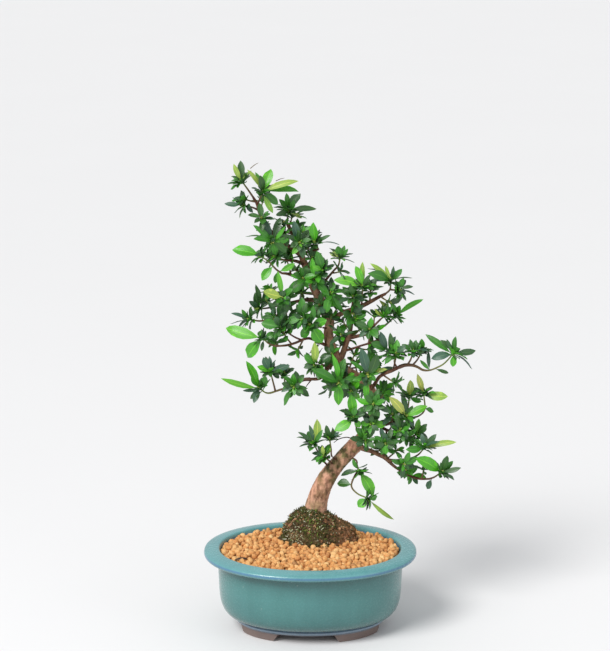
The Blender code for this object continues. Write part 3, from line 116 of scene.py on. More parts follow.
# Leafy sprays: the share of the first route that is a bare twig of the wood, then shoots. A shoot is its
# route (x, z, depth, sometimes its own radius) to the bud, and its leaves as the (x, z) where each tip shows
# and its tone: D dark, G blue-grey dark (partly painted sky reflection), M middle, B bright, Y yellow-green.
SPRAYS = {
    "top_left_tip": (0.0, (
        (((-50, 388, 10), (-54, 394, 9), (-59, 401, 8)),
         ((-60.5, 420, "D"), (-66.5, 417, "Y"), (-69, 406, "D"), (-53.5, 410, "Y"), (-53, 391.5, "D"))),
    )),
    "top_left_side": (0.35, (
        (((-45, 376, 12), (-50, 378.5, 9), (-57.5, 380.5, 7)),
         ((-75, 382, "G"), (-68, 388, "D"), (-60, 389, "Y"), (-64, 377, "D"), (-50, 374, "G"))),
    )),
    "top_left_second": (0.3, (
        (((-46.4, 381, 11), (-44, 386, 8), (-41.5, 391.5, 6)),
         ((-54.5, 412, "Y"), (-48, 410, "M"), (-34, 412.5, "B"), (-43.5, 407, "D"), (-10, 393, "M"),
          (-10.5, 402.5, "Y"), (-45.5, 386, "B"), (-28, 381, "M"), (-32.5, 373.5, "Y"))),
    )),
    "top_middle": (0.0, (
        (((-20, 364, 26), (-20, 369, 25), (-19, 375.5, 24)),
         ((5.5, 377.5, "D"), (-8.5, 391, "D"), (-21, 391.5, "M"), (-7, 369, "Y"), (-27.5, 386, "M"),
          (-30, 372, "D"), (-14, 386, "M"))),
    )),
    "top_left_middle": (0.3, (
        (((-34, 356.5, 15), (-34, 353, 9), (-33, 349.5, 5)),
         ((-42, 370, "G"), (-22, 362, "B"), (-26, 370, "D"), (-50, 363, "M"), (-57, 353.5, "D"),
          (-50, 350.5, "M"), (-21, 338, "D"), (-30, 336, "M"))),
    )),
    "left_big_leaf": (0.0, (
        (((-25, 320, 8), (-30, 323.5, 5), (-36, 330, 3), (-42, 334.5, 2)),
         ((-68.5, 341, "B"), (-42.5, 313.5, "B"), (-13.5, 329, "B"), (-31, 311, "M"))),
    )),
    "left_upper_inner": (0.0, (
        (((-20, 331.5, 14), (-25, 332.5, 11), (-30, 334.5, 8)),
         ((-20, 344, "M"), (-38, 342, "M"), (-39, 333, "D"), (-27, 347, "D"))),
    )),
    "left_pale": (0.4, (
        (((-22, 292.7, 30.7), (-25, 296, 17), (-24.5, 298, 3)),
         ((-41.5, 304, "Y"), (-28.5, 322, "B"), (-20, 285, "D"), (-34, 291, "D"))),
    )),
    "left_curled": (0.0, (
        (((-34, 289.5, 31), (-39, 288.5, 30), (-44.5, 288, 29)),
         ((-48.5, 303, "D"), (-54, 295, "G"), (-37, 311, "D"), (-35, 296, "D"), (-48, 310, "D"),
          (-48, 281, "D"))),
    )),
    "left_thin": (0.0, (
        (((-39, 277.5, 23), (-46, 277, 22), (-52.5, 278.5, 21)),
         ((-60.5, 287.5, "M"), (-70, 284, "G"), (-71, 274.5, "G"), (-53, 290, "D"))),
    )),
    "left_dark": (0.35, (
        (((-20, 288.8, 27.5), (-25, 284, 20), (-30, 280, 14)),
         ((-37.5, 295, "D"), (-24, 296, "D"), (-18, 289, "D"), (-30, 270, "D"))),
    )),
    "left_two_leaves": (0.0, (
        (((-30, 254, 3), (-36, 256, 3), (-41.5, 260.5, 3)),
         ((-75, 271, "B"), (-56, 243, "B"), (-43, 249.5, "D"), (-30.5, 266.5, "M"), (-38, 268, "Y"))),
    )),
    "left_side_twig": (0.5, (
        (((-8, 259.7, 4.6), (-15, 263, -1), (-25.5, 270.5, -5)),
         ((-20, 278, "M"), (-43.5, 275, "M"), (-16, 272, "D"), (-32, 263, "D"), (-31, 281, "D"))),
    )),
    "inner_left": (0.4, (
        (((12, 290, 22.6), (2, 284.5, 12), (-6, 279.5, 4)),
         ((-7, 298.5, "M"), (-22, 275.5, "M"), (-3, 294, "D"), (-15.5, 269, "D"))),
    )),
    "inner_big_leaf": (0.3, (
        (((1.5, 310, 22), (2.5, 313, 13), (3, 314.5, 7)),
         ((-21, 301, "M"), (17, 299, "M"), (1.5, 334, "B"), (9, 305, "D"))),
    )),
    "inner_bright": (0.35, (
        (((10.5, 293, 22), (14.5, 298, 13), (17, 302, 7)),
         ((22.5, 290, "B"), (21, 312, "B"), (14, 284, "M"), (29, 284, "M"))),
    )),
    "left_of_stem": (0.35, (
        (((16, 270, 22.5), (8, 271.5, 12), (0.5, 273.5, 3)),
         ((10.5, 257, "B"), (-8, 262, "M"), (14.5, 278, "B"), (2.5, 291, "M"), (-10, 279, "M"))),
    )),
    "left_low": (0.0, (
        (((0, 223.8, 5, 1.4), (-6, 223.3, 5, 1.3), (-11, 220.5, 5, 1.2), (-16, 216, 5, 1.1),
          (-20, 214.3, 6, 1.1), (-25, 214.5, 7, 1), (-31, 212.6, 8, 0.9), (-36, 211, 8, 0.9),
          (-40, 211.5, 8), (-44, 214.5, 8)),
         ((-79.5, 224.6, "B"), (-60.2, 213.2, "G"), (-53.4, 205.5, "D"), (-50.3, 201.7, "G"),
          (-56.5, 240.5, "B"), (-51.6, 228.2, "M"), (-39.5, 227, "M"), (-33.5, 222.5, "D"))),
        (((-31, 212.6, 8), (-33, 221, 3), (-35.4, 230.4, 0)),
         ((-41.6, 243.8, "G"), (-36.2, 245, "G"), (-31, 241.8, "G"), (-47.2, 235.5, "B"),
          (-27.4, 224.5, "D"), (-18, 236.3, "G"))),
        (((-20, 214.3, 6), (-22.5, 220, 3), (-23, 227, 2)),
         ((-28, 230, "D"), (-19.5, 238, "G"))),
        (((-11, 220.5, 5), (-13, 219, 0), (-14.2, 217, -4)),
         ((-24.2, 226, "M"), (-23.6, 199.2, "M"), (-0.6, 208, "D"), (-13, 231.5, "D"), (-5.5, 228, "D"),
          (-26, 212, "G"))),
    )),
    "under_stem": (0.45, (
        (((16, 235, 10.5), (11, 236, 4), (5.5, 236.5, 0)),
         ((-5.5, 246.5, "M"), (2, 248.5, "D"), (18.5, 246, "D"), (3.5, 258, "Y"), (-6, 234, "D"))),
    )),
    "middle_fan": (0.4, (
        (((29.5, 233.3, 20), (27, 226, 10), (25.5, 221.5, 2)),
         ((25, 199.5, "B"), (19.5, 247, "B"), (31, 243, "M"), (43, 225.5, "M"), (1, 233.5, "M"),
          (9, 222, "M"))),
    )),
    "middle_whorl": (0.4, (
        (((46, 222, 21.5), (48.5, 226, 12), (50.5, 227.5, 4)),
         ((45, 252.5, "G"), (59, 247.5, "D"), (61.5, 238.5, "B"), (68.5, 233, "Y"), (74, 235.5, "G"),
          (35, 240.5, "M"), (50.5, 201, "B"))),
    )),
    "middle_hanging": (0.4, (
        (((41, 226, 21), (38.5, 219, 12), (36.5, 214.5, 6)),
         ((39, 190.5, "B"), (30.5, 218, "D"), (44, 204, "B"), (44, 217, "D"))),
    )),
    "stump_left": (0.45, (
        (((45, 170, 23.7), (41.5, 178, 11), (39, 187.5, 3)),
         ((21.5, 176, "B"), (40.5, 198, "M"), (44, 179, "B"), (49, 192, "D"))),
    )),
    "stump_front": (0.45, (
        (((47, 172.5, 24.3), (48, 171, 14), (49, 168, 8)),
         ((40.5, 178.5, "M"), (55, 177, "D"), (46, 184, "B"), (60, 168, "M"))),
    )),
    "right_inner": (0.4, (
        (((57, 201, 26.3), (57, 201.5, 12), (56, 201, 0)),
         ((41, 206, "B"), (61, 210, "M"), (47, 194, "D"), (72, 193, "D"), (67, 204.5, "M"), (57, 190, "M"))),
    )),
    "right_under": (0.4, (
        (((55, 188.5, 26.7), (54.5, 186, 16), (54, 183, 8)),
         ((67.5, 181, "B"), (62, 192, "D"), (44, 183, "B"), (57, 173, "D"))),
    )),
    "right_blue": (0.45, (
        (((68, 177, 27.3), (68, 170, 14), (67.5, 165, 4)),
         ((62.5, 179.5, "G"), (73, 178, "D"), (57, 171, "M"), (75, 160, "D"))),
    )),
    "right_dark": (0.35, (
        (((77, 173.1, 28), (79, 174, 17), (80, 176, 8)),
         ((71, 183, "D"), (89, 179, "D"), (71.5, 163, "D"), (76, 192.5, "D"), (87, 168, "D"))),
    )),
    "right_light": (0.0, (
        (((79, 186, 16), (82, 187.5, 14), (84.5, 189, 12)),
         ((70, 207.5, "Y"), (104.5, 199, "B"), (81, 211, "D"), (93, 181, "G"))),
        (((84.5, 189, 12), (87, 198, 14), (88, 206, 15)),
         ((89, 223, "Y"), (95, 212, "G"), (79, 216, "D"), (99, 203, "M"))),
    )),
    "right_far_light": (0.45, (
        (((75, 184.5, 18), (90, 188, 23), (97, 190, 22), (102, 196, 20), (101, 209.5, 17)),
         ((122.5, 208, "Y"), (95, 228.5, "Y"), (115.5, 205, "D"), (110, 193.5, "M"), (88, 215, "M"))),
    )),
    "right_lower_inner": (0.0, (
        (((87, 170, 26), (91, 170.5, 24), (94.5, 172.5, 22)),
         ((97, 187.5, "B"), (104.5, 182.5, "D"), (86, 187, "G"), (84, 176, "D"), (89, 160, "D"))),
    )),
    "right_whorl": (0.0, (
        (((91, 150.3, 6), (97, 154, 6), (101.5, 159.5, 6)),
         ((131, 165.5, "Y"), (112.5, 173, "D"), (99.5, 173.5, "G"), (85.5, 158.5, "M"), (116, 166, "G"),
          (93, 168, "M"))),
    )),
    "right_low_tip": (0.0, (
        (((107, 131, 12), (112, 133, 11), (117, 137, 9)),
         ((94.5, 150.5, "B"), (123, 153, "D"), (135.5, 141.5, "D"), (105, 121.5, "G"), (128, 148, "M"))),
    )),
    "right_far_tip": (0.0, (
        (((79, 235, 5, 1.5), (84, 236.7, 4, 1.4), (90, 236.6, 3, 1.2), (95, 235, 3, 1.1),
          (100, 232.2, 3, 1), (106, 232, 3), (113, 234.8, 4), (119, 238.5, 5), (126, 246.5, 6)),
         ((101.5, 265, "M"), (115, 260, "D"), (120.5, 260.5, "D"), (128.5, 263, "M"), (146.5, 250, "D"),
          (144, 233, "G"), (126.5, 235, "B"), (107, 242.5, "G"), (104.5, 249.5, "G"), (97, 241.5, "M"),
          (123, 229.5, "D"))),
        (((90.5, 236.6, 3), (94, 240.5, 4), (96.5, 244.5, 5), (98, 248.5, 6)),
         ((98.5, 261, "M"), (106, 251, "D"), (93, 254, "Y"))),
        (((86, 236.8, 3.7), (89, 242, 0), (90.5, 248, -3)),
         ((88, 260.5, "D"), (80, 248, "G"), (94.5, 255, "M"))),
    )),
    "right_middle_dark": (0.0, (
        (((60, 260, 8), (65, 256.5, 6), (69, 250, 5)),
         ((62, 267.5, "G"), (70.5, 266.5, "D"), (75.5, 263, "G"), (53.5, 257.5, "M"), (74, 246, "M"))),
    )),
    "right_middle_yellow": (0.35, (
        (((77, 234, 5.3), (74.5, 239.5, 0), (75.5, 246, -3)),
         ((84.5, 254.5, "G"), (77.5, 254, "Y"), (66, 238, "M"))),
    )),
    "upper_right_tip": (0.0, (
        (((66, 301.5, 10), (70, 305.5, 9), (70.5, 312.5, 8)),
         ((52.5, 329, "Y"), (50, 325, "D"), (50.5, 320, "M"), (51, 313, "G"), (80.5, 324, "M"),
          (73, 326.5, "D"), (90, 315.5, "D"), (66, 327, "Y"))),
        (((70, 305.5, 9), (73, 305, 7), (76.5, 305, 5)),
         ((90.5, 308, "D"), (92, 300.5, "G"), (82, 316, "M"))),
    )),
    "upper_right_bright": (0.4, (
        (((45, 290.5, 13), (45.5, 298, 9), (46, 307, 5)),
         ((46, 330.5, "Y"), (39.5, 326.5, "B"), (20.5, 314, "B"), (53, 319, "D"), (28, 303, "D"),
          (56, 306, "M"))),
    )),
    "upper_right_inner": (0.4, (
        (((36, 287.2, 14.2), (37, 293, 8), (37.5, 298.5, 4)),
         ((28, 308, "M"), (48, 295, "D"), (30, 293, "M"), (35, 311, "D"), (45, 304, "M"))),
    )),
    "second_leader_tip": (0.0, (
        (((37, 277, 18), (38, 278.5, 14), (39, 279.5, 10)),
         ((49.5, 285.5, "B"), (29.5, 284, "Y"), (48.5, 270.5, "B"), (34, 268, "D"), (50, 277, "M"))),
    )),
    "right_twig_end": (0.0, (
        (((60, 276.5, 8), (62.5, 279, 7.5), (65, 281, 7)),
         ((66.5, 291, "D"), (56.5, 288, "Y"), (72, 290, "M"))),
    )),
    "right_branch_end": (0.0, (
        (((66, 273, 13), (70, 276.5, 14), (74.5, 281, 15)),
         ((60.5, 296, "Y"), (79, 291, "M"), (83, 279, "M"), (99.5, 297, "B"), (72, 293, "M"),
          (52, 266.5, "B"))),
    )),
    "small_top_right": (0.0, (
        (((21, 323, 13), (24.5, 327, 12), (26, 333.5, 11)),
         ((24, 344.5, "M"), (30, 345, "M"), (37.5, 338, "D"), (39, 329.5, "D"), (17, 338, "Y"),
          (33, 342, "M"))),
    )),
    "hooked_leaf": (0.4, (
        (((12, 312.2, 17), (12, 317, 10), (11, 321.5, 6)),
         ((5.5, 340, "M"), (15, 333, "D"), (2, 326, "B"))),
    )),
    "top_inner": (0.35, (
        (((-12, 346.5, 25.3), (-10.5, 347, 17), (-9.5, 347.5, 11)),
         ((-14.5, 367, "G"), (-1.5, 359, "D"), (-20, 354, "D"), (-4, 366.5, "D"), (-16, 337, "B"))),
    )),
    "top_right": (0.0, (
        (((7, 341.3, 18), (6, 343.5, 16), (4.5, 346.5, 14)),
         ((2.5, 365.5, "B"), (17.5, 354, "D"), (26, 346, "G"), (-8, 347, "D"), (11, 352.5, "M"))),
    )),
    "low_left": (0.45, (
        (((18, 141, 23.2), (11, 149, 14), (7, 156, 12), (3.5, 163.5, 11)),
         ((-12.5, 170, "D"), (-11, 175, "D"), (-1, 181.5, "G"), (6, 187, "Y"), (11, 177, "M"),
          (-2, 157, "M"))),
    )),
    "low_left_second": (0.45, (
        (((26, 148, 22.6), (19.5, 152, 12), (18.7, 159, 11), (17.5, 167, 11)),
         ((14, 181.5, "D"), (20, 179, "D"), (26, 175, "G"), (9, 166, "D"))),
    )),
    "trunk_whorl": (0.5, (
        (((22, 143, 22.8), (17, 148, 11), (13, 151.5, 6)),
         ((11, 162, "Y"), (6.5, 147, "Y"), (18.5, 160, "Y"))),
    )),
    "low_right": (0.45, (
        (((33, 153, 22), (41, 148.5, 16), (42, 144, 15), (43.5, 139.5, 14)),
         ((38, 150, "M"), (48.5, 147, "M"), (56, 136, "D"), (27.5, 134, "D"), (57, 114.5, "B"))),
        (((43.5, 139.5, 14), (40, 134, 13), (37, 124.5, 11), (42, 117.5, 9), (51, 113, 7)),
         ((24, 127, "D"), (43, 104.5, "B"), (62, 118, "M"), (76, 92, "Y"))),
    )),
    "back_right": (0.5, (
        (((57, 203, 26), (61, 203, 44), (63, 206, 60), (65, 210, 68)), ()),
        (((63, 206, 60), (57, 211, 62), (51, 215, 62)), ()),
    )),
    "back_middle": (0.5, (
        (((16.5, 277, 23), (12, 281, 40), (7, 285, 56), (4, 289, 66)), ()),
        (((7, 285, 56), (13, 291, 57), (19, 296, 56)), ()),
    )),
    "back_lower": (0.5, (
        (((30, 232.7, 20), (38, 234, 38), (46, 236, 54), (51, 239, 62)), ()),
        (((46, 236, 54), (44, 229, 57), (40, 223, 58)), ()),
    )),
}  # fmt: skip

# How moss covers the trunk: heights, and the share of moss at each
TRUNK_FILM = ((95, 112, 128, 140, 158, 166), (0.9, 0.35, 0.5, 1.0, 0.9, 0.1))

# The pot: half lengths of the rim's widest line, and how far the face stands inside it at each height
OVAL_POWER = 2.1
RIM_HALF = (95.0, 75.0)
OUTER_FACE = (
    (38.0, 7.0), (31.0, 7.0), (29.6, 7.3), (29.1, 8.2), (28.0, 8.7), (27.4, 9.3), (27.2, 10.0),
    (27.4, 10.8), (28.0, 11.3), (27.6, 11.9), (24.5, 13.2), (20.6, 15.4), (17.4, 19.2), (15.6, 23.2),
    (14.3, 28.0), (13.5, 35.0), (13.0, 45.0), (12.6, 55.0), (12.3, 62.0), (11.6, 65.2), (9.6, 66.9),
    (5.6, 67.7), (2.2, 68.1), (0.9, 68.7), (0.2, 69.7), (0.0, 70.7), (0.1, 71.8), (0.7, 72.8),
    (2.0, 73.5), (4.5, 74.2), (7.5, 74.7), (10.5, 75.0), (12.3, 75.0), (13.3, 74.7), (13.9, 74.0),
)  # fmt: skip
INNER_FACE = (
    (14.3, 72.5), (15.6, 68.0), (17.0, 63.0), (18.0, 45.0), (19.5, 28.0), (21.6, 21.0), (25.0, 16.6),
    (32.0, 13.2), (40.0, 13.0), (55.0, 13.0),
)  # fmt: skip
FRONT_FEET_X = (-28.5, 21.0)
FOOT_OUTER_X = 62.0
FOOT_SLOPE = 7.0
FOOT_TOP_Z = 8.4
FOOT_INSET = 29.4
# A foot's section from its outer top round to its inner top: shares of its height, and how far in each is
FOOT_LEVELS = (1.0, 0.75, 0.5, 0.25, 0.08, 0.0, 0.0, 0.08, 0.4, 1.0)
FOOT_REACHES = (0.0, 0.1, 0.2, 0.4, 0.9, 2.0, 11.0, 13.0, 13.0, 13.0)
DRAIN_X = 36.0
DRAIN_RADIUS = 7.0
DRAIN_TOP_Z = 18.0
# Heights in metres: where the glaze's colour stops end, and where the bare clay of the feet does
GLAZE_TOP = 0.08
BARE_FOOT_TOP = 0.0078

# The soil: its level at the rim and its rise, how far its body stays off the wall and under the granules, the
# height where the pot's wall bends into its floor, and the patch that the root ball keeps free of granules
SOIL_EDGE_Z = 71.4
SOIL_RISE = 3.0
SOIL_INSET = 14.9
SOIL_GAP = 0.4
SOIL_UNDER = 1.6
SOIL_SIDES = 96
FLOOR_BEND_Z = 17.0
BALL_PATCH = (28.0, 19.5)
# Layers of granules: their pitch in half widths, their height over the soil's level and the share that stays
GRANULE_LAYERS = ((1.8, -1.5, 1.0), (2.1, 0.1, 0.85), (2.8, 1.6, 0.65))
# The root ball's rings of half length, half depth, height and sideways shift, and where it leaves the soil
BALL_CENTRE = (4.0, 19.0)
BALL_RINGS = (
    (20.0, 14.0, 55.0, 0.0), (29.0, 21.0, 62.0, 0.0), (31.5, 23.0, 70.0, 0.0), (31.5, 23.0, 74.0, 0.3),
    (30.0, 22.2, 78.5, 0.4), (27.2, 20.2, 84.5, 0.0), (24.0, 18.2, 89.0, -0.6), (20.0, 16.0, 93.5, -1.4),
    (15.5, 13.4, 97.5, -2.2), (12.0, 11.2, 100.2, -2.8), (8.0, 8.0, 102.2, -2.4), (4.0, 4.0, 103.2, -1.6),
)  # fmt: skip
BALL_SHOWS_Z = 72.5
CRUMBS = 620
ROOT_STRANDS = 34

# One leaf: its cross rows as shares of its length, and their half widths as shares of its own
LEAF_ROWS = np.array([-0.06, 0.09, 0.24, 0.41, 0.58, 0.75, 0.89])
LEAF_HALVES = np.array([0.09, 0.13, 0.6, 0.95, 1.0, 0.86, 0.48])
LEAF_ACROSS = np.array([-1.0, -0.5, 0.0, 0.5, 1.0])
LEAF_SIDES = 6
LEAF_SLOTS = (0, 0, 1, 1, 1)
SIDE_VEINS = 8.0

# The frame's leaves: widths that stand for a kind of leaf, the shares of the length and of the width at their
# last cross-section, the least distance of a tip from it, and how near a tip is to its spot in the table
CAD_EDGE_ON = 4.0
CAD_WHORL_WIDTH = 5.2
SAME_WIDTH = 0.008
CAD_LEAF_THICK = 0.95
LAST_ROW = 0.74
LAST_ROW_SINGLE = 0.5
LAST_WIDTH = 0.9
TIP_REACH = 2.2
SAME_SPOT = 0.6

# Tones of the leaves: by letter, of the frame's leaves without one, of the added leaves, and of some buds
# G takes the blue-grey first stop of LEAF_STOPS, which is partly painted sky reflection.
TONES = {"G": 0.04, "D": 0.2, "M": 0.45, "B": 0.68, "Y": 0.92}
FRAME_TONES = ((0.12, 0.2, 0.3, 0.42, 0.55), (0.22, 0.3, 0.24, 0.16, 0.08))
ADDED_TONES = ((0.1, 0.2, 0.32, 0.45, 0.6), (0.2, 0.28, 0.24, 0.18, 0.1))
BUD_TONE = 0.8
BUD_TONES = {
    "left_curled": 0.95, "middle_whorl": 0.95, "middle_fan": 1.0, "right_inner": 0.92, "right_whorl": 0.98,
    "right_far_tip": 0.95, "upper_right_bright": 0.93, "top_left_middle": 0.97,
}  # fmt: skip

# Whorls and twigs: how near its bud a whorl's leaf starts, the ways tried for an added leaf, the turn from
# one leaf or twig to the next, how far a stem runs into the wood and the number of fill pieces
WHORL_REACH = 5.0
WAYS_TRIED = 14
GOLDEN_TURN = 2.4
STEM_OVERLAP = 0.6
FILL_PIECES = 3


# Curves and surfaces


def placed(rows):
    """Rows of x, z, depth as points at that depth, each on the straight line from EYE through (x, z)."""
    rows = np.asarray(rows, float)
    share = (rows[:, 2] - EYE[1]) / (LAYOUT_Y - EYE[1])
    on_plane = np.column_stack([rows[:, 0], np.full(len(rows), LAYOUT_Y), rows[:, 1]])
    return EYE + (on_plane - EYE) * share[:, None]


def smooth(rows, per_span):
    """Catmull-Rom curve through rows: on each span a cubic whose slope at a row is half the step past it."""
    rows = np.asarray(rows, float)
    padded = np.vstack([2 * rows[0] - rows[1], rows, 2 * rows[-1] - rows[-2]])
    t = np.tile(np.arange(per_span) / per_span, len(rows) - 1)[:, None]
    first = np.repeat(np.arange(len(rows) - 1), per_span)
    a, b, c, d = (padded[first + shift] for shift in range(4))
    spans = 0.5 * (2 * b + (c - a) * t + (2 * a - 5 * b + 4 * c - d) * t**2 + (3 * b - 3 * c + d - a) * t**3)
    return np.vstack([spans, rows[-1:]])


def unit(vectors):
    return vectors / np.maximum(np.linalg.norm(vectors, axis=-1, keepdims=True), 1e-9)


def lengths_along(centres):
    """The distance from the first centre to each, summed along the path."""
    return np.concatenate([[0.0], np.cumsum(np.linalg.norm(np.diff(centres, axis=0), axis=1))])


def frames(centres):
    """The path's way at each centre, and two sides that turn with it as little as they can."""
    way = unit(np.gradient(centres, axis=0))
    side = unit(np.cross(way[0], (0.31, 0.87, 0.38)))
    sides = [side]
    for before, after in zip(way[:-1], way[1:]):
        axis = np.cross(before, after)
        level = before.dot(after)
        side = side * level + np.cross(axis, side) + axis * axis.dot(side) / (1 + level)
        side = side / np.linalg.norm(side)
        sides.append(side)
    sides = np.array(sides)
    return way, sides, np.cross(way, sides)


def wrapped_faces(rows, columns):
    """Quads of a grid whose last column meets its first, and fans over both ends to two more points."""
    row, column = np.meshgrid(np.arange(rows - 1), np.arange(columns), indexing="ij")
    after = (column + 1) % columns
    quads = np.stack([row, row, row + 1, row + 1], axis=-1) * columns
    quads += np.stack([column, after, after, column], axis=-1)
    around = np.arange(columns)
    beyond = (around + 1) % columns
    last = (rows - 1) * columns
    low = np.column_stack([beyond, around, np.full(columns, rows * columns)])
    high = np.column_stack([last + around, last + beyond, np.full(columns, rows * columns + 1)])
    return quads.reshape(-1, 4), np.vstack([low, high])


def closed_grid(grid, high=None):
    """Points and faces of rings of points, rows by columns, closed by a fan to a point past each end ring."""
    high = grid[-1].mean(axis=0) if high is None else high
    return np.vstack([grid.reshape(-1, 3), grid[0].mean(axis=0), high]), wrapped_faces(*grid.shape[:2])


def ripple(draw, along, turn, waves, low, high):
    """A sum of waves over length and turn, each of a random way, count round and phase, between -1 and 1."""
    total = np.zeros(np.broadcast(along, turn).shape)
    for _ in range(waves):
        rate = draw.uniform(low, high) * draw.choice((-1, 1))
        around = draw.integers(0, 6)
        total = total + np.sin(along * rate + turn * around + draw.uniform(0, 2 * math.pi))
    return total / waves


def tube_grid(path, sides, relief=None):
    """Rings round a path of x, y, z, radius. A ring's point is centre + radius(along, turn) towards turn."""
    centres = path[:, :3]
    _, side, up = frames(centres)
    turn = np.arange(sides) * 2 * math.pi / sides
    out = side[:, None] * np.cos(turn)[:, None] + up[:, None] * np.sin(turn)[:, None]
    radius = np.repeat(path[:, 3:4], sides, axis=1)
    if relief is not None:
        radius = radius * relief(lengths_along(centres)[:, None], turn[None, :])
    return centres[:, None] + out * radius[..., None]


def oval_grid(half_x, half_y, heights, sides, power=OVAL_POWER):
    """Rings round superellipses |x/a|^p + |y/b|^p = 1, one for each pair of halves and each height."""
    turn = np.arange(sides) * 2 * math.pi / sides
    cos, sin = np.cos(turn), np.sin(turn)
    x = np.sign(cos) * np.abs(cos) ** (2 / power)
    y = np.sign(sin) * np.abs(sin) ** (2 / power)
    flat = np.broadcast_to(np.asarray(heights, float)[:, None], (len(heights), sides))
    return np.stack([np.outer(half_x, x), np.outer(half_y, y), flat], axis=-1)


def new_object(name, data):
    """A new object of the data, in the scene."""
    made = bpy.data.objects.new(name, data)
    bpy.context.scene.collection.objects.link(made)
    return made


class Shape:
    """The blocks of one mesh: points with their uv, tone and seed, and faces with their material's number."""

    def __init__(self):
        self.blocks = []
        self.faces = []
        self.slots = []
        self.count = 0

    def add(self, points, faces, slot=0, uv=None, tone=0.5, seed=0.5):
        points = np.asarray(points, float).reshape(-1, 3)
        values = np.zeros((len(points), 7))
        values[:, :3] = points
        values[:, 3:5] = 0.0 if uv is None else uv
        values[:, 5] = tone
        values[:, 6] = seed
        self.blocks.append(values)
        for number, kind in enumerate(faces):
            self.faces += (kind + self.count).tolist()
            self.slots.append(np.full(len(kind), slot[number] if isinstance(slot, tuple) else slot))
        self.count += len(points)

    def add_grid(self, grid, slot=0, tone=0.5, seed=0.5, high=None):
        """Adds rings of points as a closed block, with their shares along and across as uv."""
        self.add(*closed_grid(grid, high), slot=slot, uv=grid_uv(*grid.shape[:2]), tone=tone, seed=seed)

    def build(self, name, materials, sharp=40.0):
        values = np.vstack(self.blocks)
        mesh = bpy.data.meshes.new(name)
        mesh.from_pydata(((values[:, :3] * MM) + POT_MIDDLE).tolist(), [], self.faces)
        for material in materials:
            mesh.materials.append(material)
        mesh.polygons.foreach_set("material_index", np.concatenate(self.slots).astype(np.int32))
        corner = np.empty(len(mesh.loops), np.int32)
        mesh.loops.foreach_get("vertex_index", corner)
        mesh.uv_layers.new(name="surface").data.foreach_set("uv", values[corner, 3:5].ravel())
        for column, label in ((5, "tone"), (6, "seed")):
            mesh.attributes.new(label, "FLOAT", "POINT").data.foreach_set("value", values[:, column])
        mesh.shade_smooth()
        mesh.set_sharp_from_angle(angle=math.radians(sharp))
        return new_object(name, mesh)


def grid_uv(rows, columns):
    """Along and across shares of a closed grid's points, with its two end points after them."""
    along, across = np.meshgrid(np.linspace(0, 1, rows), np.linspace(0, 1, columns), indexing="ij")
    return np.vstack([np.column_stack([along.ravel(), across.ravel()]), [[0, 0.5], [1, 0.5]]])


def settle(piece, slot, *nodes):
    """Puts the piece on the root's body and hides the frame's nodes that it stands for. The slot is not used.
    """
    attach(piece, "root")
    if nodes:
        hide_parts(*nodes)


# Materials


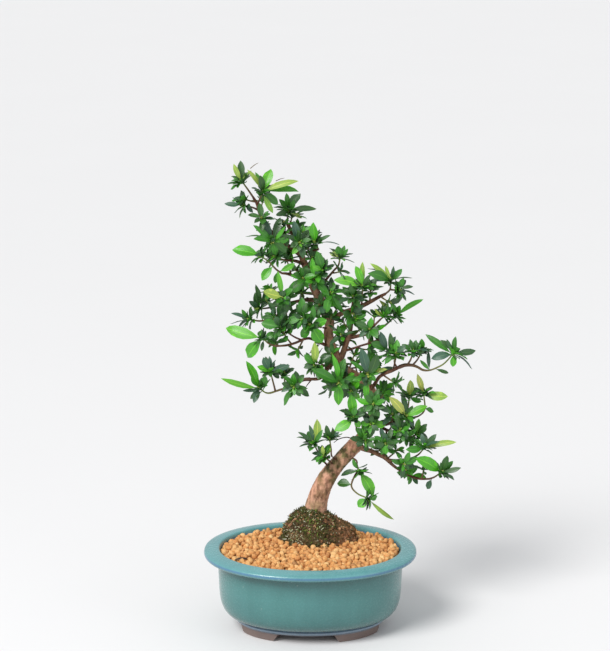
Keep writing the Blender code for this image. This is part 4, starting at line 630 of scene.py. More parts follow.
class Nodes:
    """A node tree under construction. A method that makes a node returns it or its one useful output."""

    def __init__(self, tree):
        self.tree = tree
        self.held_place = None

    def add(self, kind, settings=None, inputs=None):
        """Makes a node, with its settings by name, and sets or links its inputs by name or number."""
        made = self.tree.nodes.new(kind)
        for key, value in (settings or {}).items():
            setattr(made, key, value)
        for key, value in (inputs or {}).items():
            if isinstance(value, bpy.types.NodeSocket):
                self.tree.links.new(value, made.inputs[key])
            else:
                made.inputs[key].default_value = value
        return made

    def maths(self, operation, first, second=0.0, third=0.0):
        inputs = {0: first, 1: second, 2: third}
        return self.add("ShaderNodeMath", {"operation": operation}, inputs).outputs[0]

    def times(self, first, second):
        return self.maths("MULTIPLY", first, second)

    def ranged(self, value, low, high, start=0.0, end=1.0, kind="LINEAR"):
        """Where the value stands between low and high, as a number from start to end."""
        inputs = dict(enumerate((value, low, high, start, end)))
        return self.add("ShaderNodeMapRange", {"interpolation_type": kind}, inputs).outputs[0]

    def mix(self, factor, first, second, blend="MIX"):
        """Two colours, each a socket or three numbers, mixed by a factor."""
        settings = {"data_type": "RGBA", "blend_type": blend}
        inputs = {0: factor}
        for number, colour in ((6, first), (7, second)):
            inputs[number] = colour if isinstance(colour, bpy.types.NodeSocket) else (*colour[:3], 1.0)
        return self.add("ShaderNodeMix", settings, inputs).outputs[2]

    def lay(self, mask, share, under, over):
        """The under colour, covered by the over colour by a share of the mask."""
        return self.mix(self.times(mask, share), under, over)

    def dye(self, mask, share, colour, tint, base=None):
        """The colour, covered by a share of the mask with the base (or itself) times the tint."""
        product = self.mix(1.0, colour if base is None else base, tint, "MULTIPLY")
        return self.lay(mask, share, colour, product)

    def ramp(self, factor, stops):
        """A colour ramp with the given (place, colour) stops."""
        made = self.add("ShaderNodeValToRGB", None, {0: factor})
        elements = made.color_ramp.elements
        while len(elements) < len(stops):
            elements.new(0.5)
        for element, (spot, colour) in zip(elements, stops):
            element.position = spot
            element.color = (*colour, 1.0)
        return made.outputs[0]

    def attribute(self, name):
        return self.add("ShaderNodeAttribute", {"attribute_name": name}).outputs["Fac"]

    def tones(self, stops):
        """A colour ramp over each point's own tone."""
        return self.ramp(self.attribute("tone"), stops)

    def place(self):
        """The shaded point's place on its object, in metres."""
        if self.held_place is None:
            self.held_place = self.add("ShaderNodeTexCoord").outputs["Object"]
        return self.held_place

    def effect(self, name, **inputs):
        """The mask of one of the EFFECTS over the object."""
        given = {"Place": self.place(), **{key.capitalize(): value for key, value in inputs.items()}}
        return self.add("ShaderNodeGroup", {"node_tree": effect_group(name)}, given).outputs[0]

    def mottle(self, scale, contrast, **more):
        return self.effect("mottle", scale=scale, contrast=contrast, **more)

    def specks(self, scale, size, share):
        return self.effect("specks", scale=scale, size=size, share=share)

    def finish(self, colour, mask, rough, relief=None, specular=0.5):
        """The inputs of a Principled BSDF. Its roughness is mask * rough[0] + rough[1], and relief is the
        height, strength and distance of its bump."""
        found = {
            "Base Color": colour,
            "Roughness": self.maths("MULTIPLY_ADD", mask, *rough),
            "Specular IOR Level": specular,
        }
        if relief:
            inputs = dict(zip(("Height", "Strength", "Distance"), relief))
            found["Normal"] = self.add("ShaderNodeBump", None, inputs).outputs[0]
        return found


def build_mottle(nodes, given):
    """Cloudy patches: fractal noise at Scale, stretched by Stretch, its middle part spread over 0 to 1."""
    place = {0: given["Place"], 1: given["Stretch"]}
    stretched = nodes.add("ShaderNodeVectorMath", {"operation": "MULTIPLY"}, place).outputs[0]
    looks = {"Vector": stretched, "Scale": given["Scale"], "Detail": 5.0}
    noise = nodes.add("ShaderNodeTexNoise", None, looks).outputs[0]
    centred = nodes.maths("SUBTRACT", noise, given["Middle"])
    spread = nodes.maths("MULTIPLY_ADD", centred, given["Contrast"], 0.5)
    return nodes.add("ShaderNodeClamp", None, {0: spread}).outputs[0]


def build_specks(nodes, given):
    """Round specks: 1 within Size of a Share of the points that are scattered at Scale, 0 elsewhere."""
    cells = nodes.add("ShaderNodeTexVoronoi", None, {"Vector": given["Place"], "Scale": given["Scale"]})
    near = nodes.maths("LESS_THAN", cells.outputs["Distance"], given["Size"])
    colour = nodes.add("ShaderNodeSeparateColor", None, {0: cells.outputs["Color"]})
    return nodes.times(near, nodes.maths("LESS_THAN", colour.outputs[0], given["Share"]))


EFFECTS = {
    "mottle": (build_mottle, {"Stretch": (1.0, 1.0, 1.0), "Scale": 100.0, "Contrast": 2.0, "Middle": 0.5}),
    "specks": (build_specks, {"Scale": 300.0, "Size": 0.25, "Share": 0.3}),
}


def effect_group(name):
    """The node group of an effect, made when first asked for: a Place and its own inputs give a Mask."""
    if name in bpy.data.node_groups:
        return bpy.data.node_groups[name]
    tree = bpy.data.node_groups.new(name, "ShaderNodeTree")
    build, defaults = EFFECTS[name]
    tree.interface.new_socket("Place", in_out="INPUT", socket_type="NodeSocketVector")
    for label, default in defaults.items():
        kind = "NodeSocketFloat" if isinstance(default, float) else "NodeSocketVector"
        tree.interface.new_socket(label, in_out="INPUT", socket_type=kind).default_value = default
    tree.interface.new_socket("Mask", in_out="OUTPUT", socket_type="NodeSocketFloat")
    nodes = Nodes(tree)
    mask = build(nodes, nodes.add("NodeGroupInput").outputs)
    nodes.add("NodeGroupOutput", None, {0: mask})
    return tree


def material(name, paint, *given):
    """A material whose Principled BSDF inputs come from paint(nodes, *given), by name."""
    made = bpy.data.materials.new(name)
    made.use_nodes = True
    tree = made.node_tree
    tree.nodes.clear()
    nodes = Nodes(tree)
    shader = nodes.add("ShaderNodeBsdfPrincipled", None, paint(nodes, *given))
    nodes.add("ShaderNodeOutputMaterial", None, {0: shader.outputs[0]})
    return made


def tinted(colour, factor):
    """The colour made lighter or darker by a factor."""
    return tuple(min(1.0, value * factor) for value in colour[:3])


def paint_glaze(nodes, settings):
    """Teal glaze: tones by height for rim, body and base, with painted shade as darker bands under the rim,
    low on the body and in the crease above the foot ridge, run streaks, cloudy patches and pale specks.
    """
    height = nodes.add("ShaderNodeSeparateXYZ", None, {0: nodes.place()}).outputs[2]
    body, rim, foot = settings.glaze_colour, settings.rim_colour, settings.foot_colour
    # The darker stops at 0.145, 0.17 and 0.3 (crease above the foot ridge, lower body) and at 0.81 and 0.845
    # (under the rim) are painted shade.
    tones = nodes.ramp(
        nodes.ranged(height, 0.0, GLAZE_TOP),
        (
            (0.0, tinted(foot, 1.6)), (0.03, foot), (0.085, foot), (0.1, (0.11, 0.15, 0.2)),
            (0.13, (0.18, 0.25, 0.33)), (0.145, (0.05, 0.09, 0.14)), (0.17, tinted(body, 0.62)),
            (0.3, tinted(body, 0.85)), (0.55, body), (0.72, tinted(body, 0.9)), (0.81, tinted(body, 0.6)),
            (0.845, tinted(body, 0.7)), (0.87, tinted(rim, 0.75)), (0.89, (0.06, 0.16, 0.30)),
            (0.905, tinted(rim, 0.9)), (0.93, rim),
        ),
    )
    cloud = nodes.mottle(24.0, 2.2)
    streak = nodes.mottle(110.0, 2.4, stretch=(1.0, 1.0, 0.12))
    fine = nodes.mottle(520.0, 2.0)
    shade = nodes.dye(cloud, 1.0, tones, (1.18, 1.16, 1.12))
    shade = nodes.dye(streak, 0.4, shade, (0.66, 0.76, 0.74))
    shade = nodes.dye(fine, 0.14, shade, (1.3, 1.3, 1.3))
    shade = nodes.lay(nodes.specks(190.0, 0.12, 0.1), 0.22, shade, (0.5, 0.6, 0.54))
    relief = nodes.maths("ADD", nodes.times(cloud, 0.6), nodes.times(fine, 0.25))
    found = nodes.finish(shade, fine, (0.12, 0.2), (relief, 0.25, 0.0006))
    bare = nodes.maths("LESS_THAN", height, BARE_FOOT_TOP)
    rough = nodes.add("ShaderNodeMix", None, {0: bare, 2: found["Roughness"], 3: 0.85}).outputs[0]
    return found | {"Roughness": rough, "Coat Weight": 0.35, "Coat Roughness": 0.12}


def paint_granules(nodes, settings):
    """Baked clay granules: orange tan by each one's own tone, pale patches, pores and fine grit."""
    base = settings.granule_colour
    own = nodes.tones((
        (0.0, (0.24, 0.075, 0.025)), (0.3, (0.55, 0.2, 0.055)), (0.6, base), (1.0, (0.9, 0.6, 0.28)),
    ))
    grit = nodes.mottle(900.0, 2.2)
    pores = nodes.specks(1400.0, 0.3, 0.3)
    colour = nodes.lay(nodes.mottle(260.0, 2.6), 0.4, own, (0.88, 0.6, 0.3))
    colour = nodes.lay(grit, 0.3, colour, tinted(base, 0.6))
    colour = nodes.lay(pores, 0.4, colour, tinted(base, 0.35))
    height = nodes.maths("SUBTRACT", grit, nodes.times(pores, 0.8))
    return nodes.finish(colour, grit, (0.1, 0.85), (height, 0.6, 0.0005), 0.2)


def paint_under_soil(nodes, settings):
    """The dark gaps between granules: clay painted dark as shade, with grit."""
    grit = nodes.mottle(500.0, 2.5)
    colour = nodes.mix(grit, tinted(settings.granule_colour, 0.1), tinted(settings.granule_colour, 0.38))
    return nodes.finish(colour, grit, (0.08, 0.88), (grit, 0.7, 0.001), 0.1)


def paint_roots(nodes, settings):
    """Matted roots and old bark crumbs: dark brown to dull olive, with reddish and pale crumbs."""
    base = settings.root_colour
    own = nodes.tones((
        (0.0, tinted(base, 0.55)), (0.5, base), (0.8, (0.2, 0.095, 0.05)), (1.0, (0.42, 0.24, 0.15)),
    ))
    crumb = nodes.mottle(420.0, 3.0)
    colour = nodes.lay(nodes.mottle(85.0, 3.0), 0.55, own, (0.075, 0.08, 0.022))
    colour = nodes.dye(crumb, 0.5, colour, (2.2, 2.0, 1.7), own)
    colour = nodes.lay(nodes.specks(420.0, 0.3, 0.13), 0.55, colour, (0.5, 0.5, 0.36))
    return nodes.finish(colour, crumb, (0.1, 0.85), (crumb, 0.9, 0.0012), 0.15)


def paint_moss(nodes, settings):
    """Moss and lichen tufts: their tones run from dark brown green through bright green to pale lichen."""
    own = nodes.tones((
        (0.0, (0.03, 0.025, 0.012)), (0.3, (0.11, 0.115, 0.035)), (0.55, settings.moss_colour),
        (0.72, (0.3, 0.42, 0.08)), (0.85, (0.5, 0.5, 0.3)), (1.0, (0.72, 0.72, 0.56)),
    ))
    fine = nodes.mottle(600.0, 2.4)
    colour = nodes.dye(fine, 0.4, own, (0.55, 0.6, 0.5))
    return nodes.finish(colour, fine, (0.12, 0.75), (fine, 0.4, 0.0004), 0.2)


def paint_bark(nodes, settings):
    """Bark: pinkish brown flakes on the trunk to dark red-brown on twigs, with cracks and olive moss."""
    old, young = settings.bark_colour, settings.twig_colour
    own = nodes.tones((
        (0.0, (0.2, 0.24, 0.05)), (0.12, tinted(young, 0.9)), (0.35, young), (0.75, tinted(old, 0.8)),
        (1.0, old),
    ))
    flake = nodes.mottle(230.0, 3.2, stretch=(1.0, 1.0, 0.55))
    patch = nodes.mottle(70.0, 4.0, middle=0.54)
    crack = nodes.mottle(330.0, 5.0, stretch=(1.0, 1.0, 0.35), middle=0.58)
    colour = nodes.dye(flake, 0.6, own, (1.6, 1.6, 1.65))
    colour = nodes.dye(patch, 0.6, colour, (0.7, 0.42, 0.32), own)
    film = nodes.maths("MULTIPLY_ADD", nodes.attribute("seed"), 0.85, 0.08)
    moss = nodes.mix(flake, (0.045, 0.05, 0.012), (0.15, 0.16, 0.045))
    colour = nodes.mix(nodes.times(nodes.mottle(140.0, 6.0), film), colour, moss)
    colour = nodes.dye(crack, 0.7, colour, (0.35, 0.3, 0.28))
    height = nodes.maths("SUBTRACT", nodes.times(flake, 0.6), nodes.times(crack, 0.7))
    return nodes.finish(colour, flake, (0.12, 0.66), (height, 0.9, 0.0012), 0.3)


# The first stop, the tone of G leaves, has a blue-grey cast that is partly painted sky reflection on glossy
# dark leaves.
LEAF_STOPS = (
    (0.0, (0.04, 0.105, 0.075)), (0.2, (0.026, 0.085, 0.022)), (0.45, (0.032, 0.17, 0.016)),
    (0.68, (0.06, 0.32, 0.016)), (0.85, (0.16, 0.35, 0.05)), (1.0, (0.3, 0.38, 0.09)),
)  # fmt: skip


def paint_leaf(nodes, settings, under):
    """Leaf blade: tone from dark to yellow green, pale midrib and side veins by uv, mottled, glossy above."""
    uv = nodes.add("ShaderNodeUVMap", {"uv_map": "surface"}).outputs[0]
    parts = nodes.add("ShaderNodeSeparateXYZ", None, {0: uv}).outputs
    from_rib = nodes.maths("ABSOLUTE", nodes.maths("SUBTRACT", parts[1], 0.5))
    # Tones near 0 take the blue-grey cast of partly painted sky reflection.
    own = nodes.tones([(spot, tinted(colour, settings.brightness)) for spot, colour in LEAF_STOPS])
    patch = nodes.mottle(150.0, 2.2)
    colour = nodes.dye(patch, 0.45, own, (1.55, 1.3, 0.9))
    # side veins: thin lines that lean forward from the midrib, evenly spaced along the blade
    lean = nodes.maths("SUBTRACT", parts[0], nodes.times(from_rib, 0.45))
    comb = nodes.maths("FRACT", nodes.times(lean, SIDE_VEINS))
    comb = nodes.maths("ABSOLUTE", nodes.maths("SUBTRACT", comb, 0.5))
    vein = nodes.ranged(comb, 0.0, 0.12, 1.0, 0.0, "SMOOTHSTEP")
    rib = nodes.ranged(from_rib, 0.015, 0.06, 1.0, 0.0, "SMOOTHSTEP")
    lines = nodes.maths("MAXIMUM", nodes.times(vein, 0.3), rib)
    colour = nodes.dye(lines, 0.45, colour, (3.2, 2.2, 2.0))
    edge = nodes.ranged(from_rib, 0.42, 0.5, 0.0, 0.5)
    colour = nodes.dye(edge, 1.0, colour, (1.5, 1.2, 0.8), own)
    if under:
        colour = nodes.dye(0.5, 1.0, colour, (2.4, 1.9, 2.2), own)
    height = nodes.maths("SUBTRACT", nodes.times(patch, 0.3), lines)
    rough, specular = (0.62, 0.25) if under else (settings.leaf_roughness, 0.5)
    return nodes.finish(colour, patch, (0.15, rough), (height, 0.35, 0.0003), specular)


def paint_stem(nodes, settings):
    """Young stems: brown where they leave the wood to green at the bud, with fine hairs' speckle."""
    own = nodes.tones((
        (0.0, settings.twig_colour), (0.45, (0.14, 0.1, 0.03)), (0.75, (0.2, 0.26, 0.045)),
        (1.0, (0.42, 0.46, 0.1)),
    ))
    fine = nodes.mottle(700.0, 2.4)
    colour = nodes.dye(fine, 0.45, own, (0.5, 0.5, 0.5))
    return nodes.finish(colour, fine, (0.15, 0.55), (fine, 0.4, 0.0003))


def paint_plastic(nodes):
    """Black moulded plastic mesh: soft sheen with a faint grain and dusty patches."""
    dust = nodes.mottle(120.0, 3.0)
    colour = nodes.lay(dust, 0.3, (0.015, 0.015, 0.016), (0.12, 0.085, 0.06))
    return nodes.finish(colour, dust, (0.25, 0.4), (nodes.mottle(1500.0, 2.0), 0.2, 0.0002))


def paint_withered(nodes):
    """Withered ends and scraps: dark brown through grey tan to pale yellow green, streaked along."""
    own = nodes.tones((
        (0.0, (0.03, 0.018, 0.012)), (0.3, (0.12, 0.05, 0.03)), (0.6, (0.25, 0.22, 0.15)),
        (0.85, (0.45, 0.36, 0.22)), (1.0, (0.32, 0.38, 0.1)),
    ))
    fine = nodes.mottle(800.0, 2.6)
    colour = nodes.dye(fine, 0.5, own, (0.5, 0.46, 0.42))
    return nodes.finish(colour, fine, (0.1, 0.75), (fine, 0.5, 0.0003))


def paint_floor(nodes, settings):
    """Plain pale floor with a barely seen unevenness."""
    cloud = nodes.mottle(3.0, 1.0)
    colour = nodes.mix(cloud, tinted(settings.floor_colour, 0.985), settings.floor_colour)
    return nodes.finish(colour, cloud, (0.05, 0.7), None, 0.15)


# The pieces


def boolean(target, others, operation):
    """Joins closed meshes to the target or cuts them from it, and removes them."""
    tools = bpy.data.collections.new("tools")
    for other in others:
        tools.objects.link(other)
    modifier = target.modifiers.new("cut", "BOOLEAN")
    modifier.operation = operation
    modifier.operand_type = "COLLECTION"
    modifier.collection = tools
    modifier.solver = "EXACT"
    graph = bpy.context.evaluated_depsgraph_get()
    result = target.evaluated_get(graph)
    mesh = bpy.data.meshes.new_from_object(result, preserve_all_data_layers=True, depsgraph=graph)
    target.modifiers.clear()
    target.data = mesh
    for other in others:
        bpy.data.objects.remove(other)
    bpy.data.collections.remove(tools)


def foot_grid(end_x, side_x, back):
    """A low foot under the pot. Its cross-section is a rounded block. It follows the base's oval from end_x
    to side_x and its ends slope in towards the ground."""
    outer = (RIM_HALF[0] - FOOT_INSET, RIM_HALF[1] - FOOT_INSET)
    slope = math.copysign(FOOT_SLOPE, side_x)
    share = np.linspace(0.0, 1.0, 22)
    level, reach = np.array(FOOT_LEVELS), np.array(FOOT_REACHES)
    low_end = end_x + slope
    low_side = side_x - slope * 0.4
    top_x = end_x + (side_x - end_x) * share[:, None]
    low_x = low_end + (low_side - low_end) * share[:, None]
    bow = np.sqrt(level)[None, :]
    x = low_x + (top_x - low_x) * bow
    half_x = outer[0] - reach
    half_y = outer[1] - reach
    x_on = x * half_x / outer[0]
    y_on = half_y * (1 - np.abs(x_on / half_x) ** OVAL_POWER) ** (1 / OVAL_POWER)
    z = np.broadcast_to(level * FOOT_TOP_Z, x_on.shape)
    return np.stack([x_on, y_on * back, z], axis=-1)


def lofted(name, grid, glaze):
    """Rings of points as a closed object of their own."""
    shape = Shape()
    shape.add_grid(grid)
    return shape.build(name, [glaze])


def make_pot(settings):
    """The pot: an oval profile lofted from the base over the rim and down inside, four feet, two holes."""
    inset, height = np.vstack([smooth(OUTER_FACE, 3), smooth(INNER_FACE, 4)]).T
    glaze = material("teal_glaze_fired", paint_glaze, settings)
    wall = oval_grid(RIM_HALF[0] - inset, RIM_HALF[1] - inset, height, settings.pot_sides)
    pot = lofted("pot_fired", wall, glaze)
    feet = []
    for end_x, side_x in zip(FRONT_FEET_X, (-FOOT_OUTER_X, FOOT_OUTER_X)):
        for back in (-1.0, 1.0):
            grid = foot_grid(end_x, side_x, back)
            feet.append(lofted("foot", grid[::-1] if (side_x > 0) == (back > 0) else grid, glaze))
    boolean(pot, feet, "UNION")
    radius = [DRAIN_RADIUS] * 2
    hole = oval_grid(radius, radius, (0.0, DRAIN_TOP_Z), 40, 2.0)
    holes = [lofted("hole", hole + (x, 0.0, 0.0), glaze) for x in (-DRAIN_X, DRAIN_X)]
    boolean(pot, holes, "DIFFERENCE")
    pot.data.shade_smooth()
    pot.data.set_sharp_from_angle(angle=math.radians(50))
    settle(pot, "teal_glaze", "pot")


def soil_height(x, y):
    """The soil's level: up from the rim to the root ball as a rounded power of the way in."""
    out = np.sqrt((x / RIM_HALF[0]) ** 2 + (y / RIM_HALF[1]) ** 2)
    return SOIL_EDGE_Z + SOIL_RISE * np.maximum(0.0, 1.0 - out / 0.82) ** 0.8


def scattered(half_x, half_y, pitch, draw):
    """Places on a shaken triangular grid inside an oval."""
    rise = pitch * math.sqrt(3) / 2
    rows = int(half_y / rise) + 1
    columns = int(half_x / pitch) + 1
    row, column = np.meshgrid(np.arange(-rows, rows + 1), np.arange(-columns, columns + 1), indexing="ij")
    x = (column + 0.5 * (row % 2)).ravel() * pitch
    y = row.ravel() * rise
    x = x + draw.uniform(-0.35, 0.35, x.shape) * pitch
    y = y + draw.uniform(-0.35, 0.35, y.shape) * pitch
    inside = (np.abs(x) / half_x) ** OVAL_POWER + (np.abs(y) / half_y) ** OVAL_POWER < 1
    return x[inside], y[inside]


def pebble_template():
    """The 26 points of a cube's corners, edges and face middles, pushed out towards a ball, and its quads."""
    steps = np.array([-1.0, 0.0, 1.0])
    x, y, z = (axis.ravel() for axis in np.meshgrid(steps, steps, steps, indexing="ij"))
    cube = np.column_stack([x, y, z])
    number = np.full(27, -1)
    shell = np.abs(cube).max(axis=1) > 0.5
    number[shell] = np.arange(shell.sum())
    number = number.reshape(3, 3, 3)
    quads = []
    for axis in range(3):
        for end in (0, 2):
            sheet = np.take(number, end, axis=axis)
            corners = (sheet[:-1, :-1], sheet[1:, :-1], sheet[1:, 1:], sheet[:-1, 1:])
            quad = np.stack(corners, axis=-1).reshape(-1, 4)
            quads.append(quad if (end == 2) == (axis != 1) else quad[:, ::-1])
    ball = unit(cube[shell])
    return ball * 0.78 + cube[shell] * 0.22, np.vstack(quads)


def turned(count, draw):
    """Random turns, one 3 by 3 matrix each, from random unit quaternions."""
    w, x, y, z = unit(draw.normal(size=(count, 4))).T
    rows = (
        (1 - 2 * (y * y + z * z), 2 * (x * y - z * w), 2 * (x * z + y * w)),
        (2 * (x * y + z * w), 1 - 2 * (x * x + z * z), 2 * (y * z - x * w)),
        (2 * (x * z - y * w), 2 * (y * z + x * w), 1 - 2 * (x * x + y * y)),
    )
    return np.moveaxis(np.array(rows), 2, 0)


def copies(size, faces, count):
    """The faces of count copies of a template of size points that follow one another."""
    shift = np.arange(count)[:, None, None] * size
    return (faces[None] + shift).reshape(-1, faces.shape[1])


def add_pebbles(shape, centres, sizes, slot, tone, draw):
    """Granules: the template's points shaken, scaled along three axes, turned and moved to their centres."""
    template, quads = pebble_template()
    size, count = len(template), len(centres)
    shaken = template[None] * (1 + draw.uniform(-0.2, 0.2, (count, size, 1)))
    ranges = ((0.95, 1.25), (0.85, 1.05), (0.65, 0.95))
    axes = sizes[:, None] * np.column_stack([draw.uniform(*limits, count) for limits in ranges])
    points = np.einsum("nij,nkj->nki", turned(count, draw), shaken * axes[:, None]) + centres[:, None]
    seed = np.repeat(draw.uniform(0, 1, count), size)
    shape.add(points, [copies(size, quads, count)], slot, tone=np.repeat(tone, size), seed=seed)


def soil_body(half):
    """The soil's closed body under its granules: rings up inside the pot's wall, then in over the mound."""
    inner = smooth(INNER_FACE[:-2], 4)
    inner = inner[inner[:, 1] < SOIL_EDGE_Z - 1.5][::-1]
    inset = np.append(inner[:, 0] + SOIL_GAP, SOIL_INSET)
    height = np.append(inner[:, 1] + SOIL_UNDER * (inner[:, 1] < FLOOR_BEND_Z), SOIL_EDGE_Z - 1.8)
    wall = oval_grid(RIM_HALF[0] - inset, RIM_HALF[1] - inset, height, SOIL_SIDES)
    shrink = np.linspace(0.97, 0.06, 24)
    top = oval_grid(half[0] * shrink, half[1] * shrink, np.zeros(len(shrink)), SOIL_SIDES)
    top[..., 2] = soil_height(top[..., 0], top[..., 1]) - SOIL_UNDER
    return np.vstack([wall, top])


def make_soil(settings):
    """The soil: a closed body that fills the pot under three layers of separate baked clay granules."""
    draw = np.random.default_rng(SEED)
    shape = Shape()
    half = (RIM_HALF[0] - SOIL_INSET, RIM_HALF[1] - SOIL_INSET)
    # The soil's body under the granules takes clay painted dark as shade in the gaps.
    shape.add_grid(soil_body(half), slot=1)
    size = settings.granule_size / MM / 2
    for pitch, lift, share in GRANULE_LAYERS:
        x, y = scattered(half[0] - size * 0.7, half[1] - size * 0.7, size * pitch, draw)
        from_ball = (np.column_stack([x, y]) - BALL_CENTRE) / BALL_PATCH
        away = (from_ball**2).sum(axis=1) > 1
        away &= draw.uniform(0, 1, len(x)) < share
        x, y = x[away], y[away]
        edge = (np.abs(x) / half[0]) ** 2 + (np.abs(y) / half[1]) ** 2
        z = soil_height(x, y) + lift + draw.uniform(-0.5, 0.5, len(x)) - 0.8 * (edge > 0.9)
        tone = np.clip(draw.normal(0.55, 0.2, len(x)), 0, 1)
        sizes = size * draw.uniform(0.72, 1.12, len(x))
        add_pebbles(shape, np.column_stack([x, y, z]), sizes, 0, tone, draw)
    clay = material("baked_clay_granules", paint_granules, settings)
    gaps = material("shaded_clay", paint_under_soil, settings)
    soil = shape.build("soil_granules", [clay, gaps], 75.0)
    settle(soil, "baked_clay", "soil")


def swell(turn, middle, width):
    """A bell round a turn: 1 at the middle, falling as exp(-(gap / width)^2) to both sides."""
    return np.exp(-((((turn - middle + math.pi) % (2 * math.pi)) - math.pi) / width) ** 2)[None, :]


def ball_grid(rows, sides, draw):
    """The root ball's surface: its rings smoothed, with lumps of waves round and up, a flare at the left and
    a lobe at the right that runs down to the soil."""
    rings = smooth(BALL_RINGS, rows)
    turn = np.arange(sides) * 2 * math.pi / sides
    half_x, half_y, height, shift = (column[:, None] for column in rings.T)
    lumps = ripple(draw, height * 0.35, turn[None, :], 7, 0.5, 2.0) * 2.4
    lumps += ripple(draw, height * 1.0, turn[None, :] * 3, 9, 0.6, 2.4) * 1.3
    lobe = swell(turn, 0.1, 0.5) * 8.0 * np.clip((height - 62) / 12, 0, 1)
    lobe = lobe * np.clip((101 - height) / 12, 0, 1)
    flare = swell(turn, math.pi - 0.5, 0.55) * 3.0 * np.clip((height - 88) / 8, 0, 1)
    fade = np.clip((height - 70) / 8, 0.15, 1)
    out = lumps * fade + lobe + flare
    x = BALL_CENTRE[0] + shift + np.maximum(half_x + out, 2.0) * np.cos(turn)
    y = BALL_CENTRE[1] + np.maximum(half_y + out * 0.8, 2.0) * np.sin(turn)
    z = np.broadcast_to(height, x.shape) + lumps * 0.2 * fade
    return np.stack([x, y, z], axis=-1)


def grid_normals(grid):
    """Outward normals of a grid that goes round: the cross product of its two ways."""
    round_way = np.roll(grid, -1, axis=1) - np.roll(grid, 1, axis=1)
    up_way = np.gradient(grid, axis=0)
    return unit(np.cross(round_way, up_way))


def add_tufts(shape, roots, normals, heights, tone, slot, draw):
    """Moss spikes: three-sided, narrowing over a middle ring to a tip, leaning from the surface's normal."""
    count = len(roots)
    lean = unit(normals + draw.normal(0, 0.45, (count, 3)))
    side = unit(np.cross(lean, draw.normal(size=(count, 3))))
    other = np.cross(lean, side)
    turn = np.arange(3) * 2 * math.pi / 3
    ring = side[:, None] * np.cos(turn)[:, None] + other[:, None] * np.sin(turn)[:, None]
    wide = (heights * draw.uniform(0.16, 0.28, count))[:, None, None]
    low = roots[:, None] + ring * wide - lean[:, None] * 0.4
    bent = lean + draw.normal(0, 0.25, (count, 3))
    middle = roots[:, None] + bent[:, None] * (heights * 0.55)[:, None, None] + ring * wide * 0.8
    tip = roots + (bent + draw.normal(0, 0.2, (count, 3))) * heights[:, None]
    points = np.concatenate([low, middle, tip[:, None]], axis=1)
    around = np.arange(3)
    after = (around + 1) % 3
    quads = np.column_stack([around, after, after + 3, around + 3])
    fan = np.vstack([np.column_stack([around + 3, after + 3, np.full(3, 6)]), [[2, 1, 0]]])
    size = points.shape[1]
    faces = [copies(size, kind, count) for kind in (quads, fan)]
    seed = np.repeat(draw.uniform(0, 1, count), size)
    shape.add(points, faces, slot, tone=np.repeat(tone, size), seed=seed)


def mound_tone(x, z, draw):
    """How a tuft looks by where it stands on the mound: bright moss in front of the trunk, pale lichen to the
    lower left, dull brown over the lobe at the right, dark green elsewhere."""
    bright = np.exp(-(((x - 2) / 8) ** 2 + ((z - 91) / 9) ** 2))
    lichen = np.exp(-(((x + 13) / 8) ** 2 + ((z - 83) / 6) ** 2))
    tone = 0.2 + 0.46 * bright + draw.normal(0, 0.15, len(x))
    pale = draw.uniform(0, 1, len(x)) < lichen * 0.85 + 0.06
    return np.clip(np.where(pale, draw.uniform(0.78, 1.0, len(x)), tone), 0, 1)


def make_root_ball(settings):
    """The root ball: a lumpy mound, moss tufts over it, crumbs of old bark and roots, and root strands."""
    draw = np.random.default_rng(SEED + 1)
    grid = ball_grid(6, 110, draw)
    shape = Shape()
    tone = 0.4 + 0.4 * ((grid[..., 0] - 18) / 14).clip(0, 1) + draw.normal(0, 0.12, grid.shape[:2])
    tone = np.clip(tone, 0, 1)
    shape.add_grid(grid, tone=np.append(tone.ravel(), [0.4, 0.4]))
    normals = grid_normals(grid)
    above = np.argwhere(grid[..., 2] > BALL_SHOWS_Z)
    spots = above[draw.integers(0, len(above), settings.moss_tufts)]
    roots = grid[spots[:, 0], spots[:, 1]] + draw.normal(0, 0.35, (len(spots), 3))
    ways = normals[spots[:, 0], spots[:, 1]]
    right = np.clip((roots[:, 0] - 14) / 12, 0, 1)
    keep = draw.uniform(0, 1, len(roots)) > right * 0.85
    roots, ways = roots[keep], ways[keep]
    heights = draw.uniform(1.1, 2.6, len(roots))
    add_tufts(shape, roots, ways, heights, mound_tone(roots[:, 0], roots[:, 2], draw), 1, draw)
    spots = above[draw.integers(0, len(above), CRUMBS)]
    crumbs = grid[spots[:, 0], spots[:, 1]] + normals[spots[:, 0], spots[:, 1]] * 0.2
    crumb_tone = np.clip(draw.normal(0.45, 0.32, len(crumbs)) + 0.35 * (crumbs[:, 0] > 16), 0, 1)
    add_pebbles(shape, crumbs, draw.uniform(0.5, 1.3, len(crumbs)), 0, crumb_tone, draw)
    add_roots(shape, grid, draw)
    roots = material("matted_roots", paint_roots, settings)
    moss = material("moss_tufts", paint_moss, settings)
    ball = shape.build("root_mound", [roots, moss], 60.0)
    settle(ball, "root_fibre", "root_ball")


def add_roots(shape, grid, draw):
    """Root strands: thin tubes that run down the mound's surface from the trunk, wandering sideways."""
    sides = grid.shape[1]
    for start in draw.integers(0, sides, ROOT_STRANDS):
        rows = np.arange(grid.shape[0] - 8, 16, -3)[: draw.integers(9, 16)]
        columns = (start + np.cumsum(draw.integers(-1, 2, len(rows)))) % sides
        centres = smooth(grid[rows, columns], 3)
        radius = np.linspace(draw.uniform(0.6, 1.2), 0.25, len(centres))
        shape.add_grid(tube_grid(np.column_stack([centres, radius]), 6), tone=draw.uniform(0.3, 1.0))


def wood_path(rows, per_span):
    """A smooth path of x, y, z, radius through rows of x, z, depth, radius."""
    rows = np.asarray(rows, float)
    return smooth(np.column_stack([placed(rows), rows[:, 3]]), per_span)


